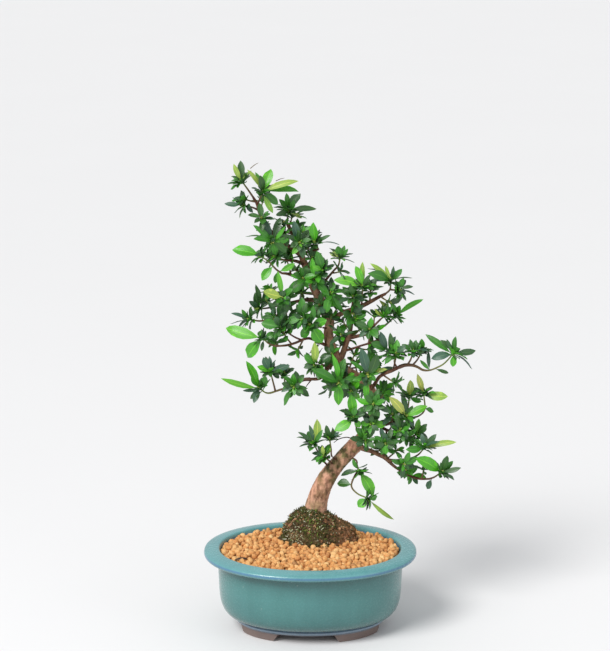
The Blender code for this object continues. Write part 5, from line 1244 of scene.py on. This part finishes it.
def bark_relief(draw, depth):
    """Bark relief: slow swellings along the limb, long ridges round it and flakes, as shares of radius."""

    def relief(along, turn):
        slow = ripple(draw, along, turn * 0.0, 4, 0.12, 0.5)
        ridges = ripple(draw, along * 0.25, turn * 2, 6, 0.1, 0.6)
        flakes = ripple(draw, along, turn * 3, 10, 0.9, 2.6)
        return 1 + depth * (0.5 * slow + 0.8 * ridges + 0.8 * flakes)

    return relief


def add_limb(shape, path, sides, draw, depth, film=0.0):
    """A limb as a tube whose radius carries ridges, knots and flakes of bark of the given depth. Its tone is
    its age, read off its radius, and its seed is the share of moss on it."""
    age = np.clip(0.2 + path[:, 3] / 7.0, 0.0, 1.0)
    tone = np.append(np.repeat(age, sides), [age[0], age[-1]])
    films = np.append(np.repeat(np.broadcast_to(film, len(path)), sides), [0.0, 0.0])
    shape.add_grid(tube_grid(path, sides, bark_relief(draw, depth)), tone=tone, seed=films)


def make_wood(settings):
    """Trunk with its cut end, leaders, branches and bare twigs as tubes along smooth curves."""
    draw = np.random.default_rng(SEED + 2)
    shape = Shape()
    depth = settings.bark_relief
    trunk = wood_path(TRUNK, 14)
    add_limb(shape, trunk, 56, draw, depth, np.interp(trunk[:, 2], *TRUNK_FILM))
    limbs = [(LEADER, 9, 30, 1.0, 0.35), (SECOND_LEADER, 8, 18, 1.0, 0.3)]
    limbs += [(rows, 6, 12, 1.1, 0.15) for rows in BRANCHES]
    for rows, per_span, sides, rough, film in limbs:
        add_limb(shape, wood_path(rows, per_span), sides, draw, depth * rough, film)
    for share, shoots in SPRAYS.values():
        if share > 0:
            path = stem_line(shoots[0][0])
            reach = lengths_along(path[:, :3])
            add_limb(shape, path[reach <= reach[-1] * share + STEM_OVERLAP], 8, draw, depth * 0.6)
    wood = shape.build("wood_bark", [material("azalea_bark", paint_bark, settings)], 55.0)
    settle(wood, "bark", "wood")


def stem_line(route):
    """A stem's smooth centre line as x, y, z, radius, a little thicker at its start than at its bud."""
    rows = np.array([(*spot[:3], spot[3] if len(spot) > 3 else 0.75) for spot in route], float)
    path = smooth(np.column_stack([placed(rows), rows[:, 3]]), 5)
    path[:, 3] *= np.linspace(1.25, 0.85, len(path))
    return path


# Leaves, read off the frame's own solids


def welded(node):
    """The distinct points of a CAD node, in millimetres from the pot's middle, and its triangles' corners."""
    mesh = node.data
    points = np.empty(len(mesh.vertices) * 3)
    mesh.vertices.foreach_get("co", points)
    mesh.calc_loop_triangles()
    corners = np.empty(len(mesh.loop_triangles) * 3, np.int32)
    mesh.loop_triangles.foreach_get("vertices", corners)
    points = (points.reshape(-1, 3) - POT_MIDDLE) / MM
    _, first, number = np.unique(np.round(points, 3), axis=0, return_index=True, return_inverse=True)
    return points[first], number.reshape(-1)[corners].reshape(-1, 3)


def find_leaves(points, triangles):
    """Each leaf's tip and the three corners before it. A tip is a point whose only three edges go to points
    that are joined to one another."""
    sides = np.vstack([triangles[:, pair] for pair in ([0, 1], [1, 2], [2, 0])])
    edges = np.unique(np.sort(sides, axis=1), axis=0)
    degree = np.bincount(edges.ravel(), minlength=len(points))
    joined = set(map(tuple, edges.tolist()))
    found = []
    for tip in np.flatnonzero(degree == 3):
        near = edges[(edges == tip).any(axis=1)]
        a, b, c = ring = sorted(near[near != tip].tolist())
        reach = np.linalg.norm(points[ring] - points[tip], axis=1).min()
        if {(a, b), (b, c), (a, c)} <= joined and reach > TIP_REACH:
            found.append((tip, *ring))
    return np.array(found)


def measured_leaves(points, leaves):
    """Each leaf's base, axis, side, up, length and width, worked back from its last cross-section.

    The two corners furthest apart are the blade's edges and the third is its keel. Up is from keel to blade.
    """
    tip = points[leaves[:, 0]]
    ring = points[leaves[:, 1:]]
    pairs = ((1, 2), (0, 2), (0, 1))
    gaps = np.column_stack([np.linalg.norm(ring[:, a] - ring[:, b], axis=1) for a, b in pairs])
    keel_at = gaps.argmax(axis=1)
    every = np.arange(len(ring))
    keel = ring[every, keel_at]
    left = ring[every, (keel_at + 1) % 3]
    right = ring[every, (keel_at + 2) % 3]
    edge = np.linalg.norm(left - right, axis=1)
    blade = (left + right) / 2
    up = unit(blade - keel)
    side = unit(right - left)
    axis = np.cross(up, side)
    axis *= np.sign(((tip - blade) * axis).sum(axis=1))[:, None]
    side = np.cross(axis, up)
    whorl = np.abs(edge - CAD_WHORL_WIDTH) < SAME_WIDTH
    single = whorl | (np.abs(edge - CAD_EDGE_ON) < SAME_WIDTH)
    share = np.where(single, LAST_ROW_SINGLE, LAST_ROW)
    width = np.where(single, edge, edge / LAST_WIDTH)
    middle = blade - up * CAD_LEAF_THICK / 3
    length = ((tip - middle) * axis).sum(axis=1) / (1 - share)
    return {
        "base": tip - axis * length[:, None], "axis": axis, "side": side, "up": up, "length": length,
        "width": width, "whorl": whorl, "tip": tip,
    }  # fmt: skip


def drawn_tones(tones, count, draw):
    """Tones drawn from a row of tones by a row of their shares."""
    return draw.choice(tones[0], count, p=tones[1])


def leaf_tones(tips, rows, draw):
    """A tone for each tip: that of the table's leaf which shows at its place, or else a drawn one."""
    share = (LAYOUT_Y - EYE[1]) / (tips[:, 1] - EYE[1])
    seen = EYE + (tips - EYE) * share[:, None]
    tone = drawn_tones(FRAME_TONES, len(tips), draw)
    if rows:
        spots = np.array([row[:2] for row in rows], float)
        tones = np.array([TONES[row[2]] for row in rows])
        gap = np.hypot(seen[:, 0, None] - spots[None, :, 0], seen[:, 2, None] - spots[None, :, 1])
        tone = np.where(gap.min(axis=1) < SAME_SPOT, tones[gap.argmin(axis=1)], tone)
    return np.clip(tone + draw.normal(0, 0.035, len(tips)), 0, 1)


def add_leaves(shape, leaf, tone, thick, draw):
    """Leaf blades. At share s along and a across from -1 to 1, a point is base + axis*L*s + side*w(s)*a
    + up*(arch*4s(1-s) + fold*w(s)*(|a|-0.5) + wave); one more point under the midrib closes each ring."""
    count = len(leaf["tip"])
    s = LEAF_ROWS[None, :]
    length, width = (leaf[key][:, None] for key in ("length", "width"))
    half = width / 2 * LEAF_HALVES[None, :]
    arch = length * 0.07 * 4 * s * (1 - s) * draw.uniform(0.6, 1.5, (count, 1))
    arch -= length * draw.uniform(-0.02, 0.07, (count, 1)) * s**3
    fold = draw.uniform(0.12, 0.42, (count, 1))
    sway = draw.uniform(-0.06, 0.06, (count, 1)) * length * 4 * s * (1 - s)
    twist = draw.uniform(-0.3, 0.3, (count, 1)) * s
    cos, sin = np.cos(twist)[..., None], np.sin(twist)[..., None]
    axis, side, up = (leaf[key][:, None, :] for key in ("axis", "side", "up"))
    side_now = side * cos + up * sin
    up_now = up * cos - side * sin
    middle = leaf["base"][:, None] + axis * (length * s)[..., None]
    middle = middle + up * arch[..., None] + side * sway[..., None]
    across = LEAF_ACROSS[None, None, :]
    wave = draw.normal(0, 0.035, (count, len(LEAF_ROWS), len(LEAF_ACROSS))) * (np.abs(across) > 0.9)
    wave = wave * width[..., None]
    lift = fold[..., None] * half[..., None] * (np.abs(across) - 0.5)
    lift = lift + thick / 2 * (1 - 0.7 * across**2) + wave
    over = middle[:, :, None] + side_now[:, :, None] * (half[..., None] * across)[..., None]
    over = over + up_now[:, :, None] * lift[..., None]
    keel = middle - up_now * (fold * half * 0.5 + thick * 0.6)[..., None]
    rings = np.concatenate([over, keel[:, :, None]], axis=2)
    tip = leaf["tip"] + leaf["up"] * (-leaf["length"] * draw.uniform(-0.02, 0.05, count))[:, None]
    points = np.concatenate([rings.reshape(count, -1, 3), tip[:, None]], axis=1)
    size = points.shape[1]
    along_uv = np.append(np.repeat(LEAF_ROWS, LEAF_SIDES), 1.0)
    across_uv = np.append(np.tile(np.append(LEAF_ACROSS, 0.0) / 2 + 0.5, len(LEAF_ROWS)), 0.5)
    uv = np.tile(np.column_stack([along_uv, across_uv]), (count, 1))
    faces = [copies(size, kind, count) for kind in leaf_template()]
    seed = np.repeat(draw.uniform(0, 1, count), size)
    shape.add(points, faces, LEAF_SLOTS, uv=uv, tone=np.repeat(tone, size), seed=seed)


def leaf_template():
    """One leaf's faces: quads and tip triangles of its upper side, then of its underside, then its root cap.
    """
    row = np.arange(len(LEAF_ROWS) - 1)[:, None] * LEAF_SIDES
    tip = len(LEAF_ROWS) * LEAF_SIDES
    last = tip - LEAF_SIDES
    faces = []
    for here, after in ((np.arange(4), np.arange(1, 5)), (np.array([4, 5]), np.array([5, 0]))):
        low, high = row + LEAF_SIDES + here, row + LEAF_SIDES + after
        faces.append(np.stack([row + here, row + after, high, low], axis=-1).reshape(-1, 4))
        faces.append(np.column_stack([last + here, last + after, np.full(len(here), tip)]))
    return [*faces, np.array([[5, 4, 3], [5, 3, 2], [5, 2, 1], [5, 1, 0]])]


def add_stem(shape, path, sides, green, power, bud_tone, bud_size):
    """A young stem as a tube that goes from brown to green, and a pointed bud on its end: rings along the
    stem's way with half widths that swell and close to a point. Returns the stem's end and its way there."""
    tone = np.linspace(0.0, green, len(path)) ** power
    shape.add_grid(tube_grid(path, sides), slot=2, tone=np.append(np.repeat(tone, sides), [0.0, green]))
    end = path[-1, :3]
    way = unit(end - path[-2, :3])
    along = np.array([-0.15, 0.08, 0.28, 0.5, 0.72, 0.9]) * bud_size
    radius = np.array([0.17, 0.25, 0.31, 0.27, 0.17, 0.07]) * bud_size
    rings = np.column_stack([end + way * along[:, None], radius])
    shape.add_grid(tube_grid(rings, 8), slot=2, tone=bud_tone, high=end + way * bud_size)
    return end, way


def ways_round(way, turn):
    """Ways square to a way, at each turn round it."""
    side = unit(np.cross(way, (0.3, 0.2, 0.9)))
    return side * np.cos(turn)[:, None] + np.cross(way, side) * np.sin(turn)[:, None]


def loose_leaves(base, axis, above, length, width):
    """Leaves from their bases along their axes, with their upper sides towards the way above."""
    up = unit(np.cross(np.cross(axis, above), axis))
    return {
        "base": base, "axis": axis, "side": np.cross(axis, up), "up": up, "length": length,
        "width": width, "tip": base + axis * length[:, None],
    }  # fmt: skip


def add_whorl_tips(shape, end, way, tone, thick, draw):
    """Small young leaves that stand close round a bud, each leaning out a little from the stem's way."""
    count = draw.integers(4, 7)
    out = ways_round(way, np.arange(count) * GOLDEN_TURN + draw.uniform(0, 2 * math.pi))
    axis = unit(way + out * draw.uniform(0.25, 0.9, (count, 1)))
    length = draw.uniform(3.6, 6.8, count)
    width = length * draw.uniform(0.26, 0.4, count)
    leaf = loose_leaves(end + out * 0.5 - way * 0.4, axis, way, length, width)
    add_leaves(shape, leaf, np.clip(tone + draw.normal(0, 0.08, count), 0, 1), thick * 0.7, draw)


def add_whorl(shape, end, way, held, bud_tone, settings, draw):
    """Leaves that fill a whorl past the frame's own: each takes, of a few random ways that lean out from the
    stem's, the one furthest from the leaves already there. held is the ways of those."""
    held = list(held)
    given = len(held)
    for _ in range(settings.whorl_leaves):
        out = ways_round(way, draw.uniform(0, 2 * math.pi, WAYS_TRIED))
        ways = unit(out + way * draw.uniform(-0.15, 1.1, (WAYS_TRIED, 1)) + (0, 0, 0.15))
        near = np.max(ways @ np.array(held).T, axis=1) if held else np.zeros(WAYS_TRIED)
        held.append(ways[near.argmin()])
    axis = np.array(held[given:]).reshape(-1, 3)
    count = len(axis)
    length = draw.uniform(8.0, 14.5, count)
    base = end - way * draw.uniform(0.0, 2.5, (count, 1))
    width = length * draw.uniform(0.34, 0.46, count)
    leaf = loose_leaves(base, axis, way + (0, 0, 0.3), length, width)
    tone = drawn_tones(ADDED_TONES, count, draw)
    tone = tone + (bud_tone - tone) * draw.uniform(0.0, 0.25, count)
    tone = np.clip(tone + draw.normal(0, 0.03, count), 0, 1)
    add_leaves(shape, leaf, tone, settings.leaf_thickness / MM, draw)


def fill_shoots(path, pitch, start, draw):
    """Short leafy twigs along a branch from a share of its length on: the rows of each twig's path."""
    reach = lengths_along(path[:, :3])
    found = []
    turn = draw.uniform(0, 2 * math.pi)
    for along in np.arange(reach[-1] * start + pitch * draw.uniform(0.2, 0.8), reach[-1] - 2.0, pitch):
        here, ahead = (
            np.array([np.interp(at, reach, column) for column in path.T]) for at in (along, along + 1.0)
        )
        base = here[:3]
        way = unit(ahead[:3] - base)
        side = unit(np.cross(way, (0.2, 0.4, 0.9)))
        turn += GOLDEN_TURN + draw.uniform(-0.4, 0.4)
        out = side * math.cos(turn) + np.cross(way, side) * math.sin(turn)
        lean = unit(out + way * draw.uniform(0.1, 0.7) + (0, 0, 0.35))
        long = here[3] + draw.uniform(6.0, 13.0)
        bow = unit(np.cross(lean, way)) * draw.uniform(-0.8, 0.8)
        share = np.linspace(0, 1, 5)[:, None]
        line = base + lean * long * share + bow * np.sin(share * math.pi) + np.array([0, 0, 1.2]) * share**2
        found.append(np.column_stack([line, np.linspace(0.9, 0.6, 5)]))
    return found


def make_fill(name, paths, settings, materials, draw):
    """Leafy twigs that aren't given one by one, with a bud and a whorl each."""
    shape = Shape()
    for path in paths:
        bud_tone = draw.uniform(0.55, 0.9)
        end, way = add_stem(shape, path, 6, 0.8, 1.0, bud_tone, draw.uniform(3.0, 4.2))
        add_whorl(shape, end, way, [], bud_tone, settings, draw)
    settle(shape.build(name, materials, 50.0), "leaf")


def make_spray(label, settings, materials):
    """One leafy spray: the frame's leaves as fine blades, with their stems, buds and young tips. Returns the
    number of leaves that the frame gave."""
    node = f"spray_{label}"
    draw = np.random.default_rng([SEED, *label.encode()])
    share, shoots = SPRAYS[label]
    points, triangles = welded(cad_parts[node])
    leaf = measured_leaves(points, find_leaves(points, triangles))
    tone = leaf_tones(leaf["tip"], [row for _, leaves in shoots for row in leaves], draw)
    shape = Shape()
    thick = settings.leaf_thickness / MM
    leaf["width"] *= np.where(leaf["whorl"], draw.uniform(0.82, 1.12, len(tone)), 1.0)
    add_leaves(shape, leaf, tone, thick, draw)
    bud_tone = BUD_TONES.get(label, BUD_TONE)
    for order, (route, _) in enumerate(shoots):
        path = stem_line(route)
        reach = lengths_along(path[:, :3])
        if order == 0 and share > 0:
            path = path[reach >= reach[-1] * share - STEM_OVERLAP]
        end, way = add_stem(shape, path, 8, 0.9, 1.3, bud_tone, draw.uniform(3.6, 4.8))
        add_whorl_tips(shape, end, way, bud_tone - 0.05, thick, draw)
        near = np.linalg.norm(leaf["base"] - end, axis=1) < WHORL_REACH
        add_whorl(shape, end, way, leaf["axis"][near], bud_tone, settings, draw)
    settle(shape.build(f"foliage_{label}", materials, 50.0), "leaf", node)
    return len(tone)


# Thin withered ends and bare thin twigs: rows of x, z, depth, radius, and how pale they are
THIN_BITS = (
    (((-30, 402, 6, 0.35), (-26, 403.8, 5, 0.3), (-22.5, 404.5, 4, 0.15)), 0.2),
    (((-52, 413, 7, 0.4), (-48.5, 416, 6, 0.35), (-45, 418, 6, 0.15)), 0.5),
    (((-35, 398, 7, 0.35), (-31, 399.4, 6, 0.3), (-27, 399, 5, 0.15)), 0.9),
    (((-38, 329, 12, 0.35), (-41.5, 331.2, 10, 0.3), (-45, 331, 9, 0.15)), 0.5),
    (((28, 219, 10, 0.35), (31.5, 218.5, 8, 0.3), (34, 216, 7, 0.15)), 0.7),
    (((38, 168, 22, 0.5), (33, 170, 19, 0.45), (26, 168.5, 18, 0.4), (21, 165, 17, 0.25)), 0.1),
    (((52, 158, 17, 0.5), (58, 161, 15, 0.4), (63, 160, 14, 0.35), (68, 157, 13, 0.2)), 1.0),
    (((17, 236, 11, 1.0), (13.5, 234, 8, 0.9), (14.5, 227, 7, 0.8), (15, 221, 6, 0.7),
      (17, 219, 5, 0.35)), 0.3),
    (((0.6, 222.7, 5, 0.6), (-2, 219.4, 4, 0.45), (-5, 215.1, 4, 0.2)), 0.1),
)  # fmt: skip
# The dark scrap of bark that lies on the granules: places along its strip as x, y and rise
SCRAP = (
    (-66.5, -30.0, 0.2), (-64.0, -31.2, 1.6), (-61.0, -31.6, 2.0), (-58.0, -30.6, 1.5), (-55.5, -29.6, 0.3),
)  # fmt: skip


def make_thin_bits():
    """Withered leaf ends and bare twigs as thin tapered tubes, and the bark scrap as a bowed strip."""
    draw = np.random.default_rng(SEED + 5)
    shape = Shape()
    for rows, pale in THIN_BITS:
        shape.add_grid(tube_grid(wood_path(rows, 5), 6), tone=pale, seed=draw.uniform())
    line = smooth(SCRAP, 5)
    line = np.column_stack([line[:, :2], soil_height(line[:, 0], line[:, 1]) + 1.2 + line[:, 2]])
    wide = 1.9 * np.sin(np.linspace(0.25, math.pi - 0.25, len(line)))
    around = np.arange(8) * math.pi / 4
    side = np.array([0.25, 0.95, 0.2])
    up = np.array([0.0, -0.2, 0.98])
    grid = line[:, None] + (wide[:, None] * np.cos(around))[..., None] * side
    grid = grid + (0.35 * np.sin(around))[None, :, None] * up
    grid += draw.normal(0, 0.1, grid.shape)
    shape.add_grid(grid, tone=0.05)
    settle(shape.build("thin_bits", [material("withered", paint_withered)], 60.0), "bark")


def dress_screens():
    """Gives the two CAD screens their moulded plastic."""
    plastic = material("moulded_plastic", paint_plastic)
    for name in ("drain_screen_left", "drain_screen_right"):
        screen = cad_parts[name]
        if not screen.material_slots:
            screen.data.materials.append(plastic)
        for held in screen.material_slots:
            held.material = plastic


# The stage


def area_light(name, place, aim, size, power, colour=(1.0, 1.0, 1.0)):
    """A round soft box at a place, turned to an aim."""
    data = bpy.data.lights.new(name, "AREA")
    data.shape = "DISK"
    data.size = size
    data.energy = power
    data.color = colour
    lamp = new_object(name, data)
    lamp.location = place
    lamp.rotation_euler = (Vector(aim) - Vector(place)).to_track_quat("-Z", "Y").to_euler()


def make_stage(settings):
    """A wide pale floor, soft studio lights with the key at the upper left, and the photograph's camera."""
    radius = settings.floor_radius
    turn = np.arange(64) * 2 * math.pi / 64
    mesh = bpy.data.meshes.new("floor")
    rim = np.column_stack([radius * np.cos(turn), radius * np.sin(turn), np.zeros(64)])
    mesh.from_pydata(rim.tolist(), [], [list(range(64))])
    mesh.materials.append(material("pale_floor", paint_floor, settings))
    floor = new_object("floor", mesh)

    world = bpy.data.worlds.new("studio")
    world.use_nodes = True
    sky = world.node_tree.nodes["Background"]
    sky.inputs["Color"].default_value = (0.97, 0.985, 1.0, 1.0)
    sky.inputs["Strength"].default_value = settings.surround
    bpy.context.scene.world = world
    sun = bpy.data.lights.new("sun", "SUN")
    sun.energy = settings.sun_strength
    sun.angle = math.radians(24.0)
    sun.color = (1.0, 0.985, 0.96)
    new_object("sun", sun).rotation_euler = Vector((0.5, 0.62, -0.8)).to_track_quat("-Z", "Y").to_euler()
    middle = (0.0, 0.0, 0.15)
    area_light("left_box", (-0.8, -0.75, 0.75), middle, 0.5, settings.box_power)
    area_light("right_box", (0.95, -0.7, 0.55), middle, 0.45, settings.box_power * 0.45, (0.96, 0.98, 1.0))

    data = bpy.data.cameras.new("camera")
    data.lens = LENS
    data.sensor_width = 36.0
    data.clip_end = 100.0
    camera = new_object("camera", data)
    camera.location = EYE * MM + POT_MIDDLE
    camera.rotation_euler = (math.pi / 2 - LOOK_DOWN, 0.0, 0.0)
    bpy.context.scene.camera = camera
    bpy.context.scene.view_settings.view_transform = "Standard"
    bpy.context.scene.view_settings.exposure = 0.0


# What a user may change


def colour_property(name, description, default):
    return FloatVectorProperty(name=name, description=description, subtype="COLOR", size=3, min=0, max=1,
                               default=default)


def length_property(name, description, default, low, high):
    return FloatProperty(name=name, description=description, default=default, min=low, max=high,
                         unit="LENGTH", subtype="DISTANCE")


class BonsaiPotSettings(bpy.types.PropertyGroup):
    """Sizes and colours of the glazed pot"""

    glaze_colour: colour_property("Glaze", "Colour of the glaze on the body", (0.055, 0.185, 0.185))
    rim_colour: colour_property("Rim", "Colour of the glaze on the rim", (0.115, 0.31, 0.335))
    foot_colour: colour_property("Feet", "Colour of the bare clay under the glaze", (0.16, 0.115, 0.105))
    pot_sides: IntProperty(name="Sides", description="Points round the pot", default=168, min=32, max=256)


class BonsaiGroundSettings(bpy.types.PropertyGroup):
    """Sizes and colours of the granules and the root ball"""

    granule_size: length_property("Granule size", "Mean width of a clay granule", 0.0052, 0.002, 0.01)
    granule_colour: colour_property("Granules", "Colour of the baked clay", (0.74, 0.36, 0.12))
    root_colour: colour_property("Roots", "Colour of the matted roots", (0.085, 0.052, 0.032))
    moss_colour: colour_property("Moss", "Colour of the brightest moss", (0.13, 0.2, 0.035))
    moss_tufts: IntProperty(name="Moss tufts", description="Number of moss spikes on the root ball",
                            default=3600, min=0, max=6000)


class BonsaiWoodSettings(bpy.types.PropertyGroup):
    """Bark colours and relief"""

    bark_colour: colour_property("Old bark", "Colour of the trunk's bark", (0.5, 0.275, 0.18))
    twig_colour: colour_property("Twigs", "Colour of thin young wood", (0.11, 0.042, 0.026))
    bark_relief: FloatProperty(name="Relief", description="Depth of the bark's relief, a share of the radius",
                               default=0.055, min=0.0, max=0.2, subtype="FACTOR")


class BonsaiLeafSettings(bpy.types.PropertyGroup):
    """Leaf blades"""

    leaf_thickness: length_property("Leaf thickness", "Thickness of a blade at its midrib",
                                    0.00045, 0.0002, 0.001)
    leaf_roughness: FloatProperty(name="Leaf roughness", description="Roughness of the glossy upper side",
                                  default=0.3, min=0.05, max=1.0, subtype="FACTOR")
    whorl_leaves: IntProperty(name="Leaves added", description="Fine leaves added to each whorl", default=8,
                              min=0, max=20)
    leader_pitch: length_property("Leader pitch", "Distance between the leafy twigs of the leaders",
                                  0.0065, 0.003, 0.1)
    branch_pitch: length_property("Branch pitch", "Distance between the leafy twigs of a branch",
                                  0.011, 0.003, 0.1)
    brightness: FloatProperty(name="Brightness", description="Makes every leaf colour lighter or darker",
                              default=1.0, min=0.3, max=3.0)
    twig_colour: colour_property("Young stems", "Colour of the stems where they leave the wood",
                                 (0.12, 0.05, 0.03))


class BonsaiStageSettings(bpy.types.PropertyGroup):
    """Floor and light"""

    floor_colour: colour_property("Floor", "Colour of the floor", (0.8, 0.8, 0.81))
    floor_radius: length_property("Floor radius", "Radius of the round floor", 16.0, 2.0, 50.0)
    sun_strength: FloatProperty(name="Sun", description="Strength of the main light, in watts a square metre",
                                default=2.3, min=0.0, max=20.0)
    box_power: FloatProperty(name="Soft boxes", description="Power of the left soft box", default=2.5,
                             min=0.0, max=100.0, unit="POWER")
    surround: FloatProperty(name="Surround", description="Strength of the soft light from all round",
                            default=0.62, min=0.0, max=5.0)


class BONSAI_OT_stage(bpy.types.Operator):
    """Builds the floor, the lights and the camera"""

    bl_idname = "bonsai.stage"
    bl_label = "Build stage"

    def execute(self, context):
        make_stage(context.scene.bonsai_stage)
        return {"FINISHED"}


class BONSAI_OT_pot(bpy.types.Operator):
    """Builds the glazed pot with its feet and drain holes"""

    bl_idname = "bonsai.pot"
    bl_label = "Build pot"

    def execute(self, context):
        make_pot(context.scene.bonsai_pot)
        return {"FINISHED"}


class BONSAI_OT_screens(bpy.types.Operator):
    """Gives the drain screens their moulded plastic"""

    bl_idname = "bonsai.screens"
    bl_label = "Finish drain screens"

    def execute(self, context):
        dress_screens()
        return {"FINISHED"}


class BONSAI_OT_soil(bpy.types.Operator):
    """Fills the pot with baked clay granules"""

    bl_idname = "bonsai.soil"
    bl_label = "Build soil"

    def execute(self, context):
        make_soil(context.scene.bonsai_ground)
        return {"FINISHED"}


class BONSAI_OT_root_ball(bpy.types.Operator):
    """Builds the mossy root ball"""

    bl_idname = "bonsai.root_ball"
    bl_label = "Build root ball"

    def execute(self, context):
        make_root_ball(context.scene.bonsai_ground)
        return {"FINISHED"}


class BONSAI_OT_wood(bpy.types.Operator):
    """Builds the trunk, branches and bare twigs"""

    bl_idname = "bonsai.wood"
    bl_label = "Build wood"

    def execute(self, context):
        make_wood(context.scene.bonsai_wood)
        return {"FINISHED"}


class BONSAI_OT_foliage(bpy.types.Operator):
    """Builds every leafy spray from the frame's own leaves"""

    bl_idname = "bonsai.foliage"
    bl_label = "Build foliage"

    def execute(self, context):
        settings = context.scene.bonsai_leaf
        materials = [
            material("leaf_upper", paint_leaf, settings, False),
            material("leaf_under", paint_leaf, settings, True),
            material("young_stem", paint_stem, settings),
        ]
        if min([make_spray(label, settings, materials) for label in SPRAYS]) < 1:
            raise RuntimeError("a spray of the frame holds no leaf")
        draw = np.random.default_rng(SEED + 9)
        stems = [(LEADER, settings.leader_pitch, 0.3), (SECOND_LEADER, settings.leader_pitch, 0.2)]
        stems += [(rows, settings.branch_pitch, 0.25) for rows in BRANCHES]
        twigs = [path for rows, pitch, start in stems
                 for path in fill_shoots(wood_path(rows, 4), pitch / MM, start, draw)]
        for number in range(FILL_PIECES):
            make_fill(f"foliage_fill_{number + 1}", twigs[number::FILL_PIECES], settings, materials, draw)
        return {"FINISHED"}


class BONSAI_OT_thin_bits(bpy.types.Operator):
    """Builds withered ends, bare thin twigs and the bark scrap"""

    bl_idname = "bonsai.thin_bits"
    bl_label = "Build thin bits"

    def execute(self, context):
        make_thin_bits()
        return {"FINISHED"}


class BONSAI_PT_panel(bpy.types.Panel):
    """Lists the pieces' operators and what may be changed"""

    bl_idname = "BONSAI_PT_panel"
    bl_label = "Azalea bonsai"
    bl_space_type = "VIEW_3D"
    bl_region_type = "UI"
    bl_category = "Bonsai"

    def draw(self, context):
        for group, operators in PANEL_ROWS:
            box = self.layout.box()
            settings = getattr(context.scene, group)
            for name in settings.__annotations__:
                box.prop(settings, name)
            for operator in operators:
                box.operator(operator)


PANEL_ROWS = (
    ("bonsai_stage", ("bonsai.stage",)),
    ("bonsai_pot", ("bonsai.pot", "bonsai.screens")),
    ("bonsai_ground", ("bonsai.soil", "bonsai.root_ball")),
    ("bonsai_wood", ("bonsai.wood", "bonsai.thin_bits")),
    ("bonsai_leaf", ("bonsai.foliage",)),
)
SETTINGS = {
    "bonsai_pot": BonsaiPotSettings,
    "bonsai_ground": BonsaiGroundSettings,
    "bonsai_wood": BonsaiWoodSettings,
    "bonsai_leaf": BonsaiLeafSettings,
    "bonsai_stage": BonsaiStageSettings,
}
OPERATORS = (
    BONSAI_OT_stage,
    BONSAI_OT_pot,
    BONSAI_OT_screens,
    BONSAI_OT_soil,
    BONSAI_OT_root_ball,
    BONSAI_OT_wood,
    BONSAI_OT_foliage,
    BONSAI_OT_thin_bits,
)


def register():
    for each in (*SETTINGS.values(), *OPERATORS, BONSAI_PT_panel):
        bpy.utils.register_class(each)
    for name, each in SETTINGS.items():
        setattr(bpy.types.Scene, name, PointerProperty(type=each))


def unregister():
    for name in SETTINGS:
        delattr(bpy.types.Scene, name)
    for each in reversed((*SETTINGS.values(), *OPERATORS, BONSAI_PT_panel)):
        bpy.utils.unregister_class(each)


def main():
    """Builds every piece in order."""
    register()
    for operator in OPERATORS:
        family, name = operator.bl_idname.split(".")
        if getattr(getattr(bpy.ops, family), name)() != {"FINISHED"}:
            raise RuntimeError(f"{operator.bl_idname} did not finish")


if __name__ == "__main__":
    main()
